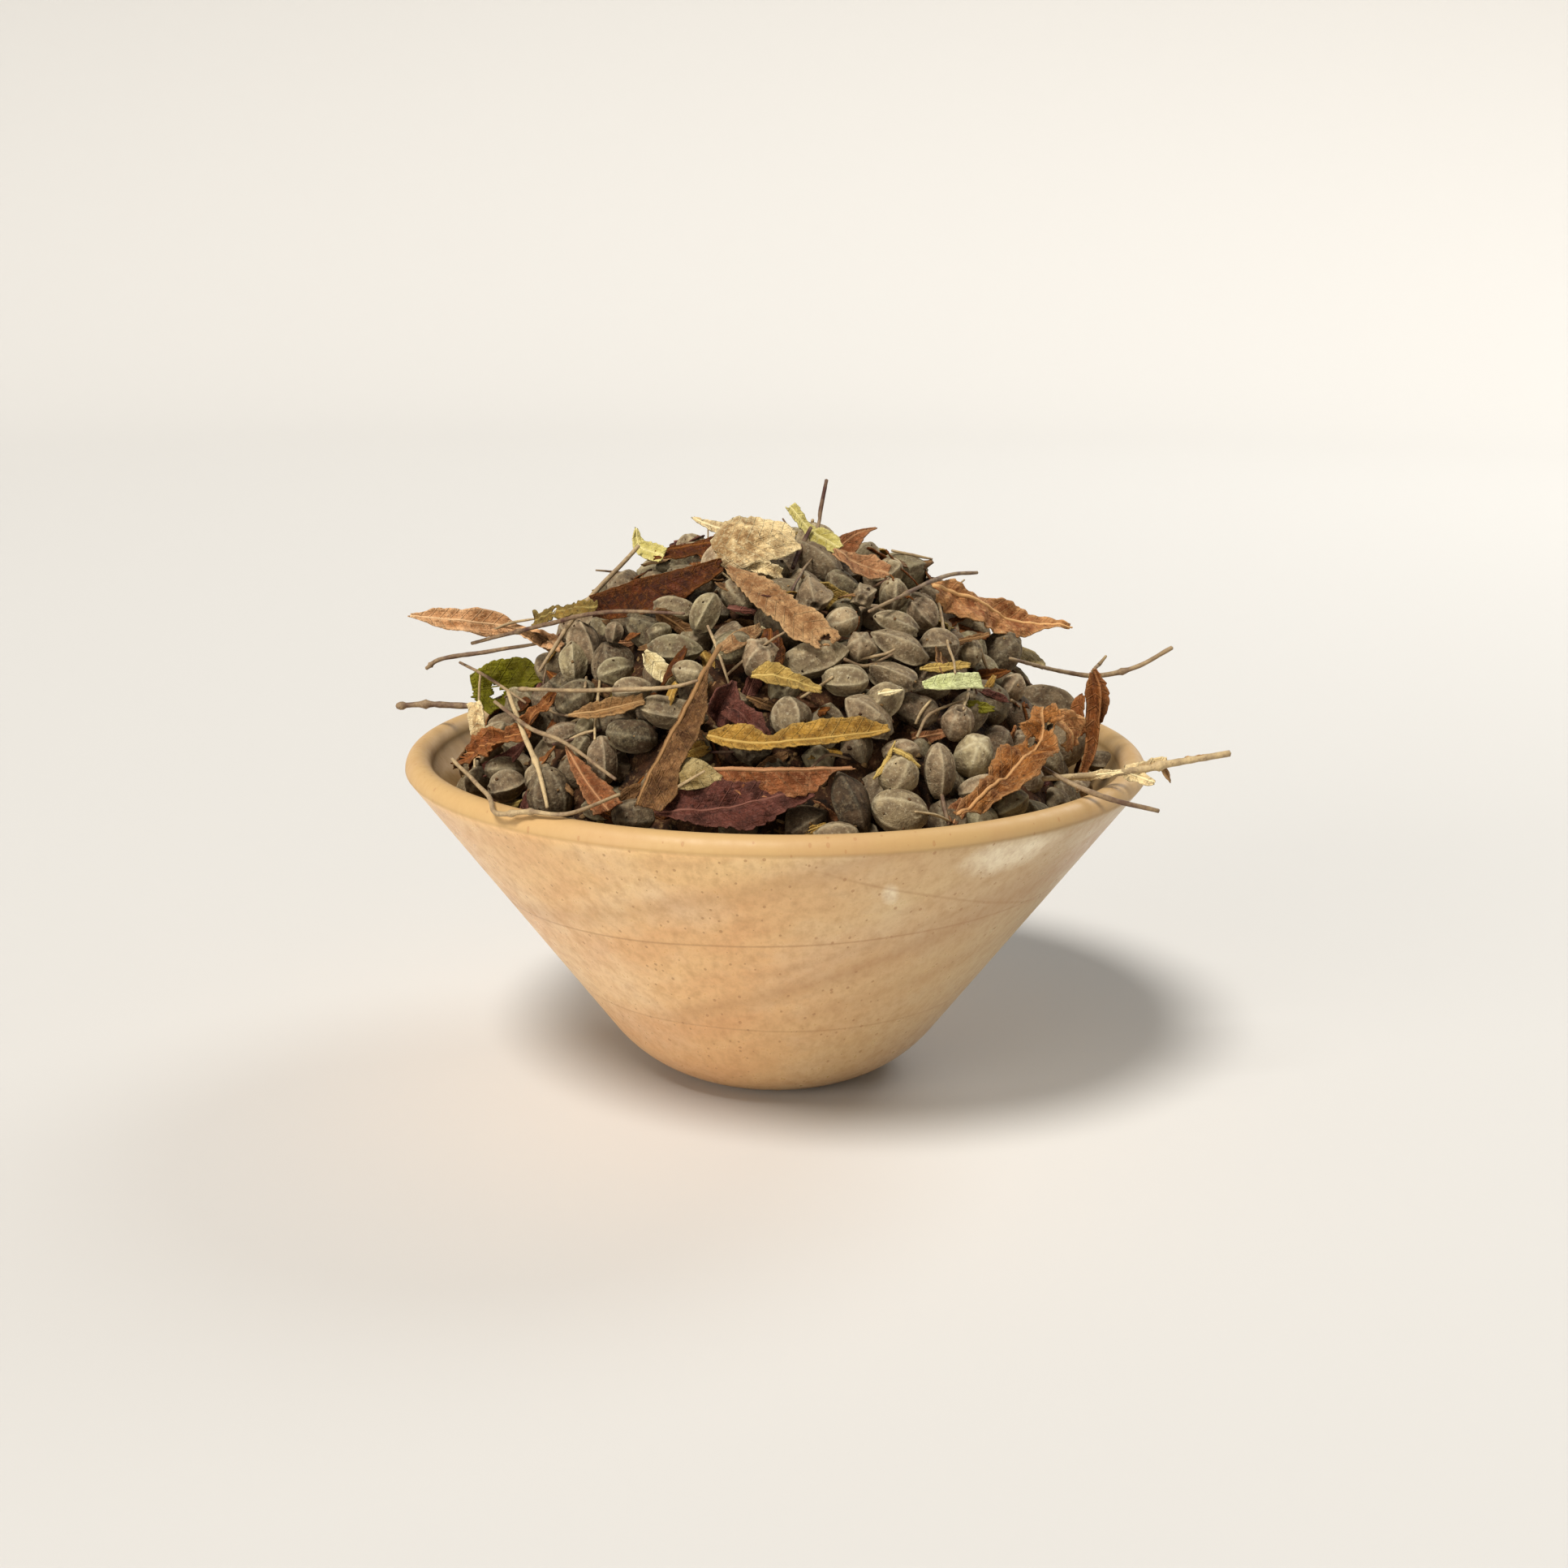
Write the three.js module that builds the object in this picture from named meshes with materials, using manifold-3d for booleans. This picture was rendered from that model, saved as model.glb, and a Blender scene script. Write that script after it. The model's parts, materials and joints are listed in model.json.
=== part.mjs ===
// A turned wooden bowl, heaped with dried linden fruits, broken dried leaves and stalks.
//
// Millimetres, +Z up. The origin is the centre of the bowl's flat foot, and the bowl's axis is Z.
// The bowl is one lathe-turned solid. Its contents are one heap with a lump for each fruit. The
// larger leaves and the stalks that lie on the heap or stand out of it are pieces of their own,
// trimmed where they would run into the heap, the bowl or each other.

import * as THREE from "three";
import { mergeVertices } from "three/addons/utils/BufferGeometryUtils.js";
import Module from "manifold-3d";

// ---- Driving dimensions, in mm ----

const RIM_RADIUS = 75; // outside, at the widest point of the lip
const RIM_HEIGHT = 68; // top of the lip above the foot
const FOOT_RADIUS = 17.5; // flat face that the bowl stands on
const SIDE_ANGLE = THREE.MathUtils.degToRad(37); // lean of the side from the vertical
const LIP_HALF_WIDTH = 2.7; // the lip is half an ellipse in section
const LIP_RISE = 3.2;
const FLOOR_THICKNESS = 6;
const FOOT_EDGE_RADIUS = 10; // small round at the edge of the foot
const FOOT_EDGE_SLOPE = THREE.MathUtils.degToRad(22); // slope at which the belly takes over
const BELLY_INNER_RADIUS = 24; // round between the floor and the inside wall
const BOWL_SIDES = 60;

const GAP = 0.4; // clearance between pieces that touch

const HEAP_HEIGHT = 110; // top of the heap above the foot
const HEAP_RADIUS = 65; // where the heap meets the bowl's wall
const HEAP_ROUNDNESS = 2.4; // exponent of its outline: 2 is a parabola, and more is flatter on top
const HEAP_RINGS = 22;
const HEAP_FACET = 4; // length of a facet round the heap
const HEAP_BASE_SIDES = 42;

const FRUIT_SIZE = 10.5; // each lump of the heap is one fruit
const LUMP_COUNT = 222;
const LUMP_DEPTH = 5; // how far the heap's surface sinks between the lumps, at most
const LUMP_CROWDING = 0.44; // exponent of the spiral: below a half, lumps crowd to the steep edge
const RING_CROWDING = 0.7; // the same for the rings of facets: below one, they crowd to the edge
const GOLDEN_ANGLE = Math.PI * (3 - Math.sqrt(5));

const LEAF_THICKNESS = 0.8;
const LEAF_STATIONS = 7; // cross-sections along a leaf
const LEAF_END_SHARE = 0.16; // width of a broken leaf's end, as a share of its full width
const LEAF_RAGGEDNESS = 0.09; // how far a leaf's edge wanders, as a share of its width

const STALK_SIDES = 6;
const STALK_STEP = 6; // length of a stalk's straight facets

// ---- Colours ----

const WOOD = 0xe0b986;
const FRUIT = 0x6f6555;
const DRY_BROWN = 0x6b3a1e;
const RUST = 0xa85a30;
const TAN = 0xb07a4c;
const OCHRE = 0x96752c;
const CREAM = 0xd6c07e;
const GREEN = 0x6f7a22;
const MAROON = 0x5b2b28;
const TWIG = 0x8c7355;
const PINK_TWIG = 0x7a4f45;

// ---- Leaves and stalks ----

// Each leaf lies along its spine, faces the way face points, and is folded along its midrib by
// fold: its edges rise, or drop where fold is negative, by that share of its half-width.
const LEAVES = {
  leaf_left_flag: {
    colour: TAN, width: 5.5, fold: 0.15, face: [0.1, -0.8, 0.6],
    spine: [[-73.5, -6, 94.8], [-63, -4, 93.5], [-52.1, 0, 91.2], [-42.5, -9, 89]],
  },
  leaf_left_green: {
    colour: GREEN, width: 10.5, fold: 0.2, face: [0.1, -0.95, 0.3],
    spine: [[-62.3, 6, 77.4], [-55.6, 5, 78.5], [-48, 3, 79.8]],
  },
  leaf_left_low: {
    colour: DRY_BROWN, width: 6, fold: 0.4, face: [-0.4, -0.7, 0.6],
    spine: [[-61.5, -21, 70.5], [-54.5, -26.5, 73.5], [-48, -32, 77.4], [-43, -30, 83.2]],
  },
  leaf_olive_left: {
    colour: OCHRE, width: 4.5, fold: 0.15, face: [-0.3, -0.7, 0.6],
    spine: [[-49.5, -5, 93.9], [-42.5, -12, 96.6], [-35, -18.5, 99.2]],
  },
  leaf_brown_back: {
    colour: DRY_BROWN, width: 5.5, fold: 0.3, face: [-0.2, -0.8, 0.5],
    spine: [[-23.5, -2, 108.6], [-16.5, -2, 110.4], [-10.6, -3, 111.6]],
  },
  leaf_brown_ridge: {
    colour: DRY_BROWN, width: 8, fold: 0.45, face: [-0.2, -0.75, 0.65],
    spine: [[-36, -13, 99], [-24.5, -20.2, 103.6], [-11, -21, 108]],
  },
  leaf_cream_peak: {
    colour: CREAM, width: 10, fold: -0.25, face: [-0.1, -0.6, 0.8],
    spine: [[-12, -17.5, 109.5], [-4.3, -17, 112], [3.2, -12, 112.2]],
  },
  leaf_tan_front: {
    colour: TAN, width: 6.5, fold: 0.15, face: [0.2, -0.7, 0.7],
    spine: [[-9, -23.4, 107.4], [-0.3, -32.9, 102.6], [9.2, -38.4, 96.4]],
  },
  leaf_rust_peak: {
    colour: RUST, width: 7, fold: 0.3, face: [0.2, -0.7, 0.7],
    spine: [[20.5, 4, 111.6], [17, -4, 109.8], [19.5, -12, 107.4], [24, -14, 105.4]],
  },
  leaf_right_flag: {
    colour: TAN, width: 9, fold: 0.2, face: [0.2, -0.6, 0.75],
    spine: [[31.5, -6, 101.6], [39, -1, 98.4], [48.7, 5, 93.2], [59.4, 5, 91.9]],
  },
  leaf_red_middle: {
    colour: MAROON, width: 6.5, fold: 0.3, face: [0.1, -0.75, 0.65],
    spine: [[-12.5, -46.4, 89.2], [-8.6, -50.2, 86.6], [-4.6, -53.8, 82.4]],
  },
  leaf_rolled: {
    colour: OCHRE, width: 3.5, fold: 0.7, face: [-0.2, -0.8, 0.55],
    spine: [[-38.5, -38.6, 81.6], [-31.8, -42.6, 83.6], [-24, -45.4, 86]],
  },
  leaf_yellow_fold: {
    colour: OCHRE, width: 5.5, fold: 0.3, face: [0, -0.7, 0.7],
    spine: [[-4.4, -45.8, 90.6], [1.6, -47, 90.8], [8.4, -47, 88.6]],
  },
  leaf_ochre_front: {
    colour: OCHRE, width: 6, fold: 0.25, face: [0, -0.72, 0.68],
    spine: [[-12.2, -52.8, 81], [-2.2, -54.6, 80.4], [9.5, -53.6, 81.2], [20.7, -49.2, 81.8]],
  },
  leaf_rust_front: {
    colour: RUST, width: 6, fold: -0.2, face: [0, -0.8, 0.6],
    spine: [[-10.9, -57.2, 76], [0.8, -58.6, 76.2], [13.9, -56.6, 76.4]],
  },
  leaf_maroon_front: {
    colour: MAROON, width: 10, fold: 0.12, face: [0.05, -0.7, 0.72],
    spine: [[-20.6, -60, 68.6], [-7.8, -61.6, 70.4], [6.6, -59.6, 73]],
  },
  leaf_brown_diagonal: {
    colour: DRY_BROWN, width: 6.5, fold: 0.3, face: [-0.1, -0.75, 0.65],
    spine: [[-12.4, -46, 92], [-18.2, -53.4, 82.4], [-24.4, -60.8, 70.6]],
  },
  leaf_red_spear: {
    colour: RUST, width: 5, fold: 0.2, face: [0, -0.75, 0.65],
    spine: [[-38.5, -43.2, 76.5], [-34.3, -51, 72.2], [-29.8, -58, 68.6]],
  },
  leaf_crumpled_right: {
    colour: RUST, width: 8.5, fold: 0.35, face: [-0.2, -0.8, 0.55],
    spine: [[33.2, -56, 67.6], [42, -47, 73], [49.6, -36.4, 77.4], [50.4, -32, 82.4]],
  },
  leaf_crumpled_edge: {
    colour: TAN, width: 6, fold: 0.4, face: [0.3, -0.8, 0.5],
    spine: [[52.6, -31, 81], [56.2, -28.6, 77.6], [57.4, -27.6, 73.6]],
  },
  leaf_curl_right: {
    colour: DRY_BROWN, width: 5.5, fold: 0.7, face: [-0.1, -0.95, 0.1],
    spine: [[64.9, -6, 84.5], [63.9, -9, 77.5], [61.8, -13, 69.5]],
  },
  husk_front: {
    colour: CREAM, width: 6, fold: -0.35, face: [-0.1, -0.8, 0.6],
    spine: [[-19.6, -56.8, 73.6], [-15.6, -57.6, 75.4], [-11.2, -58.4, 75.6]],
  },
  husk_right: {
    colour: CREAM, width: 6, fold: -0.3, face: [0.3, -0.6, 0.75],
    spine: [[46.5, 18, 86.4], [51, 12, 85.2], [54.8, 4, 83.4]],
  },
  bract_lime_peak: {
    colour: CREAM, width: 3.4, fold: 0, face: [0.4, -0.9, 0.3],
    spine: [[2.5, 2, 116.5], [6.8, 1, 111.6], [12.5, -5, 109.8]],
  },
  bract_yellow_peak: {
    colour: CREAM, width: 3, fold: 0.4, face: [0.3, -0.9, 0.3],
    spine: [[-17.1, 2, 114], [-14, 1, 112.6], [-9.6, -1, 111.4]],
  },
  bract_lime_left: {
    colour: CREAM, width: 5.5, fold: 0.2, face: [0.2, -0.9, 0.3],
    spine: [[-28.6, 4, 111.5], [-27.6, 2, 107.8], [-22.4, -4, 106.8]],
  },
  bract_left: {
    colour: CREAM, width: 3.6, fold: 0.2, face: [-0.4, -0.9, 0.2],
    spine: [[-60.6, -8, 77.6], [-59.6, -11, 74], [-58.6, -14, 70.6]],
  },
  bract_green_strip: {
    colour: GREEN, width: 3.6, fold: 0.1, face: [0.4, -0.7, 0.6],
    spine: [[27.3, -40, 88.4], [33.3, -36, 88.2], [38.8, -30.6, 87.4]],
  },
};

// Each stalk follows its spine. The one on the rim hooks over the lip and back into the heap.
const STALKS = {
  stalk_peak: {
    colour: PINK_TWIG, radius: 0.55,
    spine: [[9.6, 0, 121.8], [8.7, -1, 116.3], [7.6, -3.5, 110.8]],
  },
  stalk_upper_right: {
    colour: PINK_TWIG, radius: 0.55,
    spine: [[40.6, 6, 102.6], [34.2, -2, 103.2], [27, -19.6, 103.2], [17.3, -32, 100.6]],
  },
  stalk_right_mid: {
    colour: PINK_TWIG, radius: 0.65,
    spine: [[79.7, -2, 88.9], [73.3, 0, 84.6], [65.7, 2, 82.2], [58, 0, 83.4], [46, -12, 88.2]],
  },
  stalk_right_low: {
    colour: TWIG, radius: 0.95,
    spine: [[86.7, -30, 73.5], [74.8, -32, 71.8], [65.3, -34, 70.5], [50, -40, 70.6]],
  },
  stalk_right_pink: {
    colour: PINK_TWIG, radius: 0.65,
    spine: [[71.2, -44, 65.6], [62.5, -45, 67.9], [55.4, -44, 70.4], [49, -38, 73]],
  },
  stalk_left_long: {
    colour: TWIG, radius: 0.65,
    spine: [[-27.8, -1, 108.4], [-34.1, -9, 102.2], [-39.8, -15.9, 95.8], [-45.8, -21, 86.6]],
  },
  stalk_cross: {
    colour: TWIG, radius: 0.6,
    spine: [[-49.6, -23, 83.4], [-34.1, -40.4, 86.8], [-20.1, -47.4, 88.8], [-14, -48.6, 90.4]],
  },
  stalk_left_upper: {
    colour: TWIG, radius: 0.65,
    spine: [[-72.9, 10, 81], [-69.5, 10, 83.1], [-60, 9.5, 84.8], [-49, 1, 88]],
  },
  stalk_left_lower: {
    colour: PINK_TWIG, radius: 0.85,
    spine: [[-80, 14, 72.2], [-73, 14, 72.6], [-62, 12, 72.8], [-57, 8, 75.5]],
  },
  stalk_left_cross: {
    colour: TWIG, radius: 0.6,
    spine: [[-61.8, 0, 88.2], [-50, -9, 92.6], [-33, -26, 99], [-17.2, -34.6, 100.4]],
  },
  stalk_pale_left: {
    colour: TWIG, radius: 0.65,
    spine: [[-51.8, -22, 82.6], [-47.4, -35.4, 77.6], [-43.8, -43.4, 72.6], [-41.6, -50, 66.8]],
  },
  stalk_dark_left: {
    colour: DRY_BROWN, radius: 0.55,
    spine: [[-54, -24.6, 81.2], [-46, -37.6, 79], [-38.6, -44.2, 77.6], [-28.6, -54.8, 73.4]],
  },
  stalk_rim: {
    colour: TWIG, radius: 0.6,
    spine: [
      [-63.4, -20, 68.8], [-52.5, -50, 69.2], [-49.8, -57.4, 67.6], [-43.4, -60.6, 68.8],
      [-36.4, -62.7, 69], [-27.5, -59.4, 71.8],
    ],
  },
};

// ---- Bowl ----

const SIDE_LEAN = Math.tan(SIDE_ANGLE); // radius gained for each mm of height
const WALL_SLOPE = Math.PI / 2 - SIDE_ANGLE;
const LIP_BASE_HEIGHT = RIM_HEIGHT - LIP_RISE;
const INNER_RIM_RADIUS = RIM_RADIUS - 2 * LIP_HALF_WIDTH;

/** Points of an arc in the (radius, height) plane, between two slopes. */
function slopeArc(start, radius, fromSlope, toSlope, steps) {
  return Array.from({ length: steps }, (_, i) => {
    const slope = fromSlope + ((toSlope - fromSlope) * (i + 1)) / steps;
    return new THREE.Vector2(
      start.x + radius * (Math.sin(slope) - Math.sin(fromSlope)),
      start.y + radius * (Math.cos(fromSlope) - Math.cos(slope)),
    );
  });
}

/** Radius of the arc that turns from one slope to the wall's and runs straight on to end. */
function bellyRadius(start, fromSlope, end) {
  const run = end.x - start.x;
  const rise = end.y - start.y;
  const arcRun = Math.sin(WALL_SLOPE) - Math.sin(fromSlope);
  const arcRise = Math.cos(fromSlope) - Math.cos(WALL_SLOPE);
  return (run - rise * SIDE_LEAN) / (arcRun - arcRise * SIDE_LEAN);
}

/** Outside of the bowl: foot, small edge round, belly round and straight side up to the lip. */
function outsideProfile() {
  const foot = new THREE.Vector2(FOOT_RADIUS, 0);
  const edge = slopeArc(foot, FOOT_EDGE_RADIUS, 0, FOOT_EDGE_SLOPE, 2);
  const lip = new THREE.Vector2(RIM_RADIUS, LIP_BASE_HEIGHT);
  const radius = bellyRadius(edge.at(-1), FOOT_EDGE_SLOPE, lip);
  const belly = slopeArc(edge.at(-1), radius, FOOT_EDGE_SLOPE, WALL_SLOPE, 4);
  return [new THREE.Vector2(0, 0), foot, ...edge, ...belly, lip];
}

/** Rounded lip, over the top between its two edges. */
function lipProfile() {
  const steps = 6;
  return Array.from({ length: steps - 1 }, (_, i) => {
    const turn = (Math.PI * (i + 1)) / steps;
    return new THREE.Vector2(
      RIM_RADIUS - LIP_HALF_WIDTH + LIP_HALF_WIDTH * Math.cos(turn),
      LIP_BASE_HEIGHT + LIP_RISE * Math.sin(turn),
    );
  });
}

/** Radius of the inside wall at a height, drawn in by inset. */
function wallRadius(height, inset) {
  return INNER_RIM_RADIUS - inset - SIDE_LEAN * (LIP_BASE_HEIGHT - height);
}

/** Floor and belly of the bowl's inside, from the middle outwards, drawn in by inset. */
function floorProfile(inset) {
  const floor = FLOOR_THICKNESS + inset;
  const belly = slopeArc(new THREE.Vector2(0, floor), BELLY_INNER_RADIUS, 0, WALL_SLOPE, 4);
  const floorRadius = wallRadius(belly.at(-1).y, inset) - belly.at(-1).x;
  const start = new THREE.Vector2(floorRadius, floor);
  return [start, ...belly.map((p) => new THREE.Vector2(p.x + floorRadius, p.y))];
}

/** LatheGeometry turns a profile about +Y, so it is stood up to turn about +Z. */
function bowlGeometry() {
  const inside = [
    new THREE.Vector2(0, FLOOR_THICKNESS),
    ...floorProfile(0),
    new THREE.Vector2(INNER_RIM_RADIUS, LIP_BASE_HEIGHT),
  ];
  const profile = [...outsideProfile(), ...lipProfile(), ...inside.reverse()];
  return new THREE.LatheGeometry(profile, BOWL_SIDES).rotateX(Math.PI / 2);
}

// ---- Heap ----

const HEAP_EDGE_HEIGHT = LIP_BASE_HEIGHT - (INNER_RIM_RADIUS - GAP - HEAP_RADIUS) / SIDE_LEAN;

/** Point of the heap's smooth outline over a place in the plan. */
function outlinePoint(x, y) {
  const share = Math.min(Math.hypot(x, y) / HEAP_RADIUS, 1);
  const rise = (HEAP_HEIGHT - HEAP_EDGE_HEIGHT) * (1 - share ** HEAP_ROUNDNESS);
  return new THREE.Vector3(x, y, HEAP_EDGE_HEIGHT + rise);
}

/** Tops of the lumps, spread over the outline in a spiral like the seeds of a sunflower. */
const LUMPS = Array.from({ length: LUMP_COUNT }, (_, i) => {
  const radius = HEAP_RADIUS * ((i + 0.5) / LUMP_COUNT) ** LUMP_CROWDING;
  const turn = i * GOLDEN_ANGLE;
  return outlinePoint(radius * Math.cos(turn), radius * Math.sin(turn));
});

/** Height of the heap's surface: the outline, rounded off as a ball is round each lump's top. */
function heapHeight(x, y) {
  const point = outlinePoint(x, y);
  const nearest = Math.min(...LUMPS.map((lump) => lump.distanceTo(point)));
  const share = Math.min(nearest / (FRUIT_SIZE * 0.62), 1);
  return point.z - LUMP_DEPTH * (1 - Math.sqrt(1 - share ** 2));
}

/** Closed band of triangles between two rings, which may have different numbers of corners. */
function stitch(inner, outer, indices) {
  let i = 0;
  let o = 0;
  while (i < inner.count || o < outer.count) {
    const inside = inner.first + (i % inner.count);
    const outside = outer.first + (o % outer.count);
    const stepOut = (o + 0.5) / outer.count < (i + 0.5) / inner.count;
    if (i >= inner.count || (o < outer.count && stepOut)) {
      o += 1;
      indices.push(inside, outside, outer.first + (o % outer.count));
    } else {
      i += 1;
      indices.push(inside, outside, inner.first + (i % inner.count));
    }
  }
}

/** The heap as one closed solid, with its lumpy top raised by lift. */
function heapGeometry(lift) {
  const edgeHeight = HEAP_EDGE_HEIGHT - LUMP_DEPTH / 2;
  const top = Array.from({ length: HEAP_RINGS }, (_, i) => {
    const radius = HEAP_RADIUS * ((i + 1) / (HEAP_RINGS + 1)) ** RING_CROWDING;
    const count = Math.round((2 * Math.PI * radius) / HEAP_FACET);
    return { radius, count, height: (x, y) => heapHeight(x, y) + lift };
  });
  const edge = {
    radius: wallRadius(edgeHeight + lift, GAP),
    count: top.at(-1).count,
    height: () => edgeHeight + lift,
  };
  const below = floorProfile(GAP).reverse();
  const bottom = below.map((p) => ({ radius: p.x, count: HEAP_BASE_SIDES, height: () => p.y }));
  const positions = [0, 0, heapHeight(0, 0) + lift];
  const indices = [];
  let previous = { first: 0, count: 1 };
  for (const ring of [...top, edge, ...bottom]) {
    const first = positions.length / 3;
    for (let i = 0; i < ring.count; i++) {
      const turn = (2 * Math.PI * i) / ring.count;
      const x = ring.radius * Math.cos(turn);
      const y = ring.radius * Math.sin(turn);
      positions.push(x, y, ring.height(x, y));
    }
    const current = { first, count: ring.count };
    stitch(previous, current, indices);
    previous = current;
  }
  positions.push(0, 0, below.at(-1).y);
  stitch(previous, { first: positions.length / 3 - 1, count: 1 }, indices);
  return meshed(positions, indices);
}

/** A geometry from flat lists, without the triangles that have two corners in one place. */
function meshed(positions, indices) {
  const kept = [];
  for (let i = 0; i < indices.length; i += 3) {
    const [a, b, c] = indices.slice(i, i + 3);
    if (a !== b && b !== c && c !== a) kept.push(a, b, c);
  }
  const geometry = new THREE.BufferGeometry();
  geometry.setAttribute("position", new THREE.Float32BufferAttribute(positions, 3));
  geometry.setIndex(kept);
  return geometry;
}

// ---- Shapes of leaves and stalks ----

const curveThrough = (spine) => new THREE.CatmullRomCurve3(spine.map((p) => new THREE.Vector3(...p)));

/** Half-width of a leaf at a share of its length: widest in its first half, with ragged edges. */
function leafHalfWidth(width, share) {
  const bulge = Math.sin(Math.PI * share ** 0.85) ** 0.75;
  const ragged = 1 + LEAF_RAGGEDNESS * Math.sin(share * 17);
  return (width / 2) * ragged * (LEAF_END_SHARE + (1 - LEAF_END_SHARE) * bulge);
}

/** A leaf as a thin closed shell, two strips wide. It grows outwards all round by grow. */
function leafGeometry({ spine, face, width, fold }, grow) {
  const curve = curveThrough(spine);
  const up = new THREE.Vector3(...face).normalize();
  const positions = [];
  for (const side of [1, -1]) {
    for (let s = 0; s <= LEAF_STATIONS; s++) {
      const share = s / LEAF_STATIONS;
      const along = curve.getTangent(share);
      const across = new THREE.Vector3().crossVectors(along, up).normalize();
      const normal = new THREE.Vector3().crossVectors(across, along).normalize();
      const half = leafHalfWidth(width, share) + grow;
      const centre = curve.getPoint(share).addScaledVector(along, (share - 0.5) * 2 * grow);
      for (const lane of [-1, 0, 1]) {
        const lift = side * (LEAF_THICKNESS / 2 + grow) + fold * half * (Math.abs(lane) - 0.5);
        const point = centre.clone();
        point.addScaledVector(across, lane * half);
        point.addScaledVector(normal, lift);
        positions.push(...point.toArray());
      }
    }
  }
  const layer = 3 * (LEAF_STATIONS + 1);
  const indices = [];
  const quad = (a, b, c, d) => indices.push(a, b, c, a, c, d);
  for (let s = 0; s < LEAF_STATIONS; s++) {
    const row = 3 * s;
    for (const a of [row, row + 1]) {
      quad(a, a + 1, a + 4, a + 3);
      quad(a + layer, a + 3 + layer, a + 4 + layer, a + 1 + layer);
    }
    quad(row, row + 3, row + 3 + layer, row + layer);
    quad(row + 5, row + 2, row + 2 + layer, row + 5 + layer);
  }
  const end = 3 * LEAF_STATIONS;
  for (const lane of [0, 1]) {
    quad(lane + 1, lane, lane + layer, lane + 1 + layer);
    quad(end + lane, end + lane + 1, end + lane + 1 + layer, end + lane + layer);
  }
  return meshed(positions, indices);
}

/** A stalk as a faceted round bar along its spine. */
function stalkGeometry({ spine, radius }, grow) {
  const curve = curveThrough(spine);
  const section = new THREE.Shape(
    Array.from({ length: STALK_SIDES }, (_, i) => {
      const turn = (2 * Math.PI * i) / STALK_SIDES;
      return new THREE.Vector2(Math.cos(turn), Math.sin(turn)).multiplyScalar(radius + grow);
    }),
  );
  const steps = Math.ceil(curve.getLength() / STALK_STEP);
  return new THREE.ExtrudeGeometry(section, { steps, extrudePath: curve });
}

// ---- Trimming ----

const wasm = await Module();
wasm.setup();

/** A closed mesh as a solid that can be cut. */
function solidOf(geometry) {
  const bare = geometry.clone();
  bare.deleteAttribute("normal");
  bare.deleteAttribute("uv");
  const merged = mergeVertices(bare, 1e-4);
  return new wasm.Manifold(
    new wasm.Mesh({
      numProp: 3,
      vertProperties: merged.attributes.position.array,
      triVerts: new Uint32Array(merged.index.array),
    }),
  );
}

/** The faces of a solid as a geometry. */
function geometryOf(solid) {
  const { vertProperties, triVerts } = solid.getMesh();
  return meshed(Array.from(vertProperties), Array.from(triVerts));
}

/** What is left of a solid clear of the cutters: its largest piece, where a cut leaves several. */
function trimmed(solid, cutters) {
  const left = cutters.reduce((rest, cutter) => rest.subtract(cutter), solid);
  return left.decompose().reduce((best, piece) => (piece.volume() > best.volume() ? piece : best));
}

// ---- Assembly ----

const model = new THREE.Group();

function add(name, geometry, colour, roughness) {
  geometry.computeVertexNormals();
  const skin = new THREE.MeshStandardMaterial({ color: colour, roughness, metalness: 0 });
  const mesh = new THREE.Mesh(geometry, skin);
  mesh.name = name;
  model.add(mesh);
}

add("bowl", bowlGeometry(), WOOD, 0.35);
add("heap", heapGeometry(0), FRUIT, 0.9);

const cutters = [solidOf(bowlGeometry()), solidOf(heapGeometry(2 * GAP))];
for (const [shape, pieces] of [[leafGeometry, LEAVES], [stalkGeometry, STALKS]]) {
  for (const [name, piece] of Object.entries(pieces)) {
    add(name, geometryOf(trimmed(solidOf(shape(piece, 0)), cutters)), piece.colour, 0.85);
    cutters.push(solidOf(shape(piece, GAP)));
  }
}

export default model;
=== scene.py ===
"""Looks of a turned wooden bowl heaped with dried linden fruits, broken dry leaves and stalks.

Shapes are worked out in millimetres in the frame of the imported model, +Z up from the centre of the
bowl's foot, and are turned into metres where a mesh is made.
"""

import json
import math
from collections import namedtuple

import bpy
import numpy as np
from mathutils import Matrix, Vector
from mathutils.bvhtree import BVHTree

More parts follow.
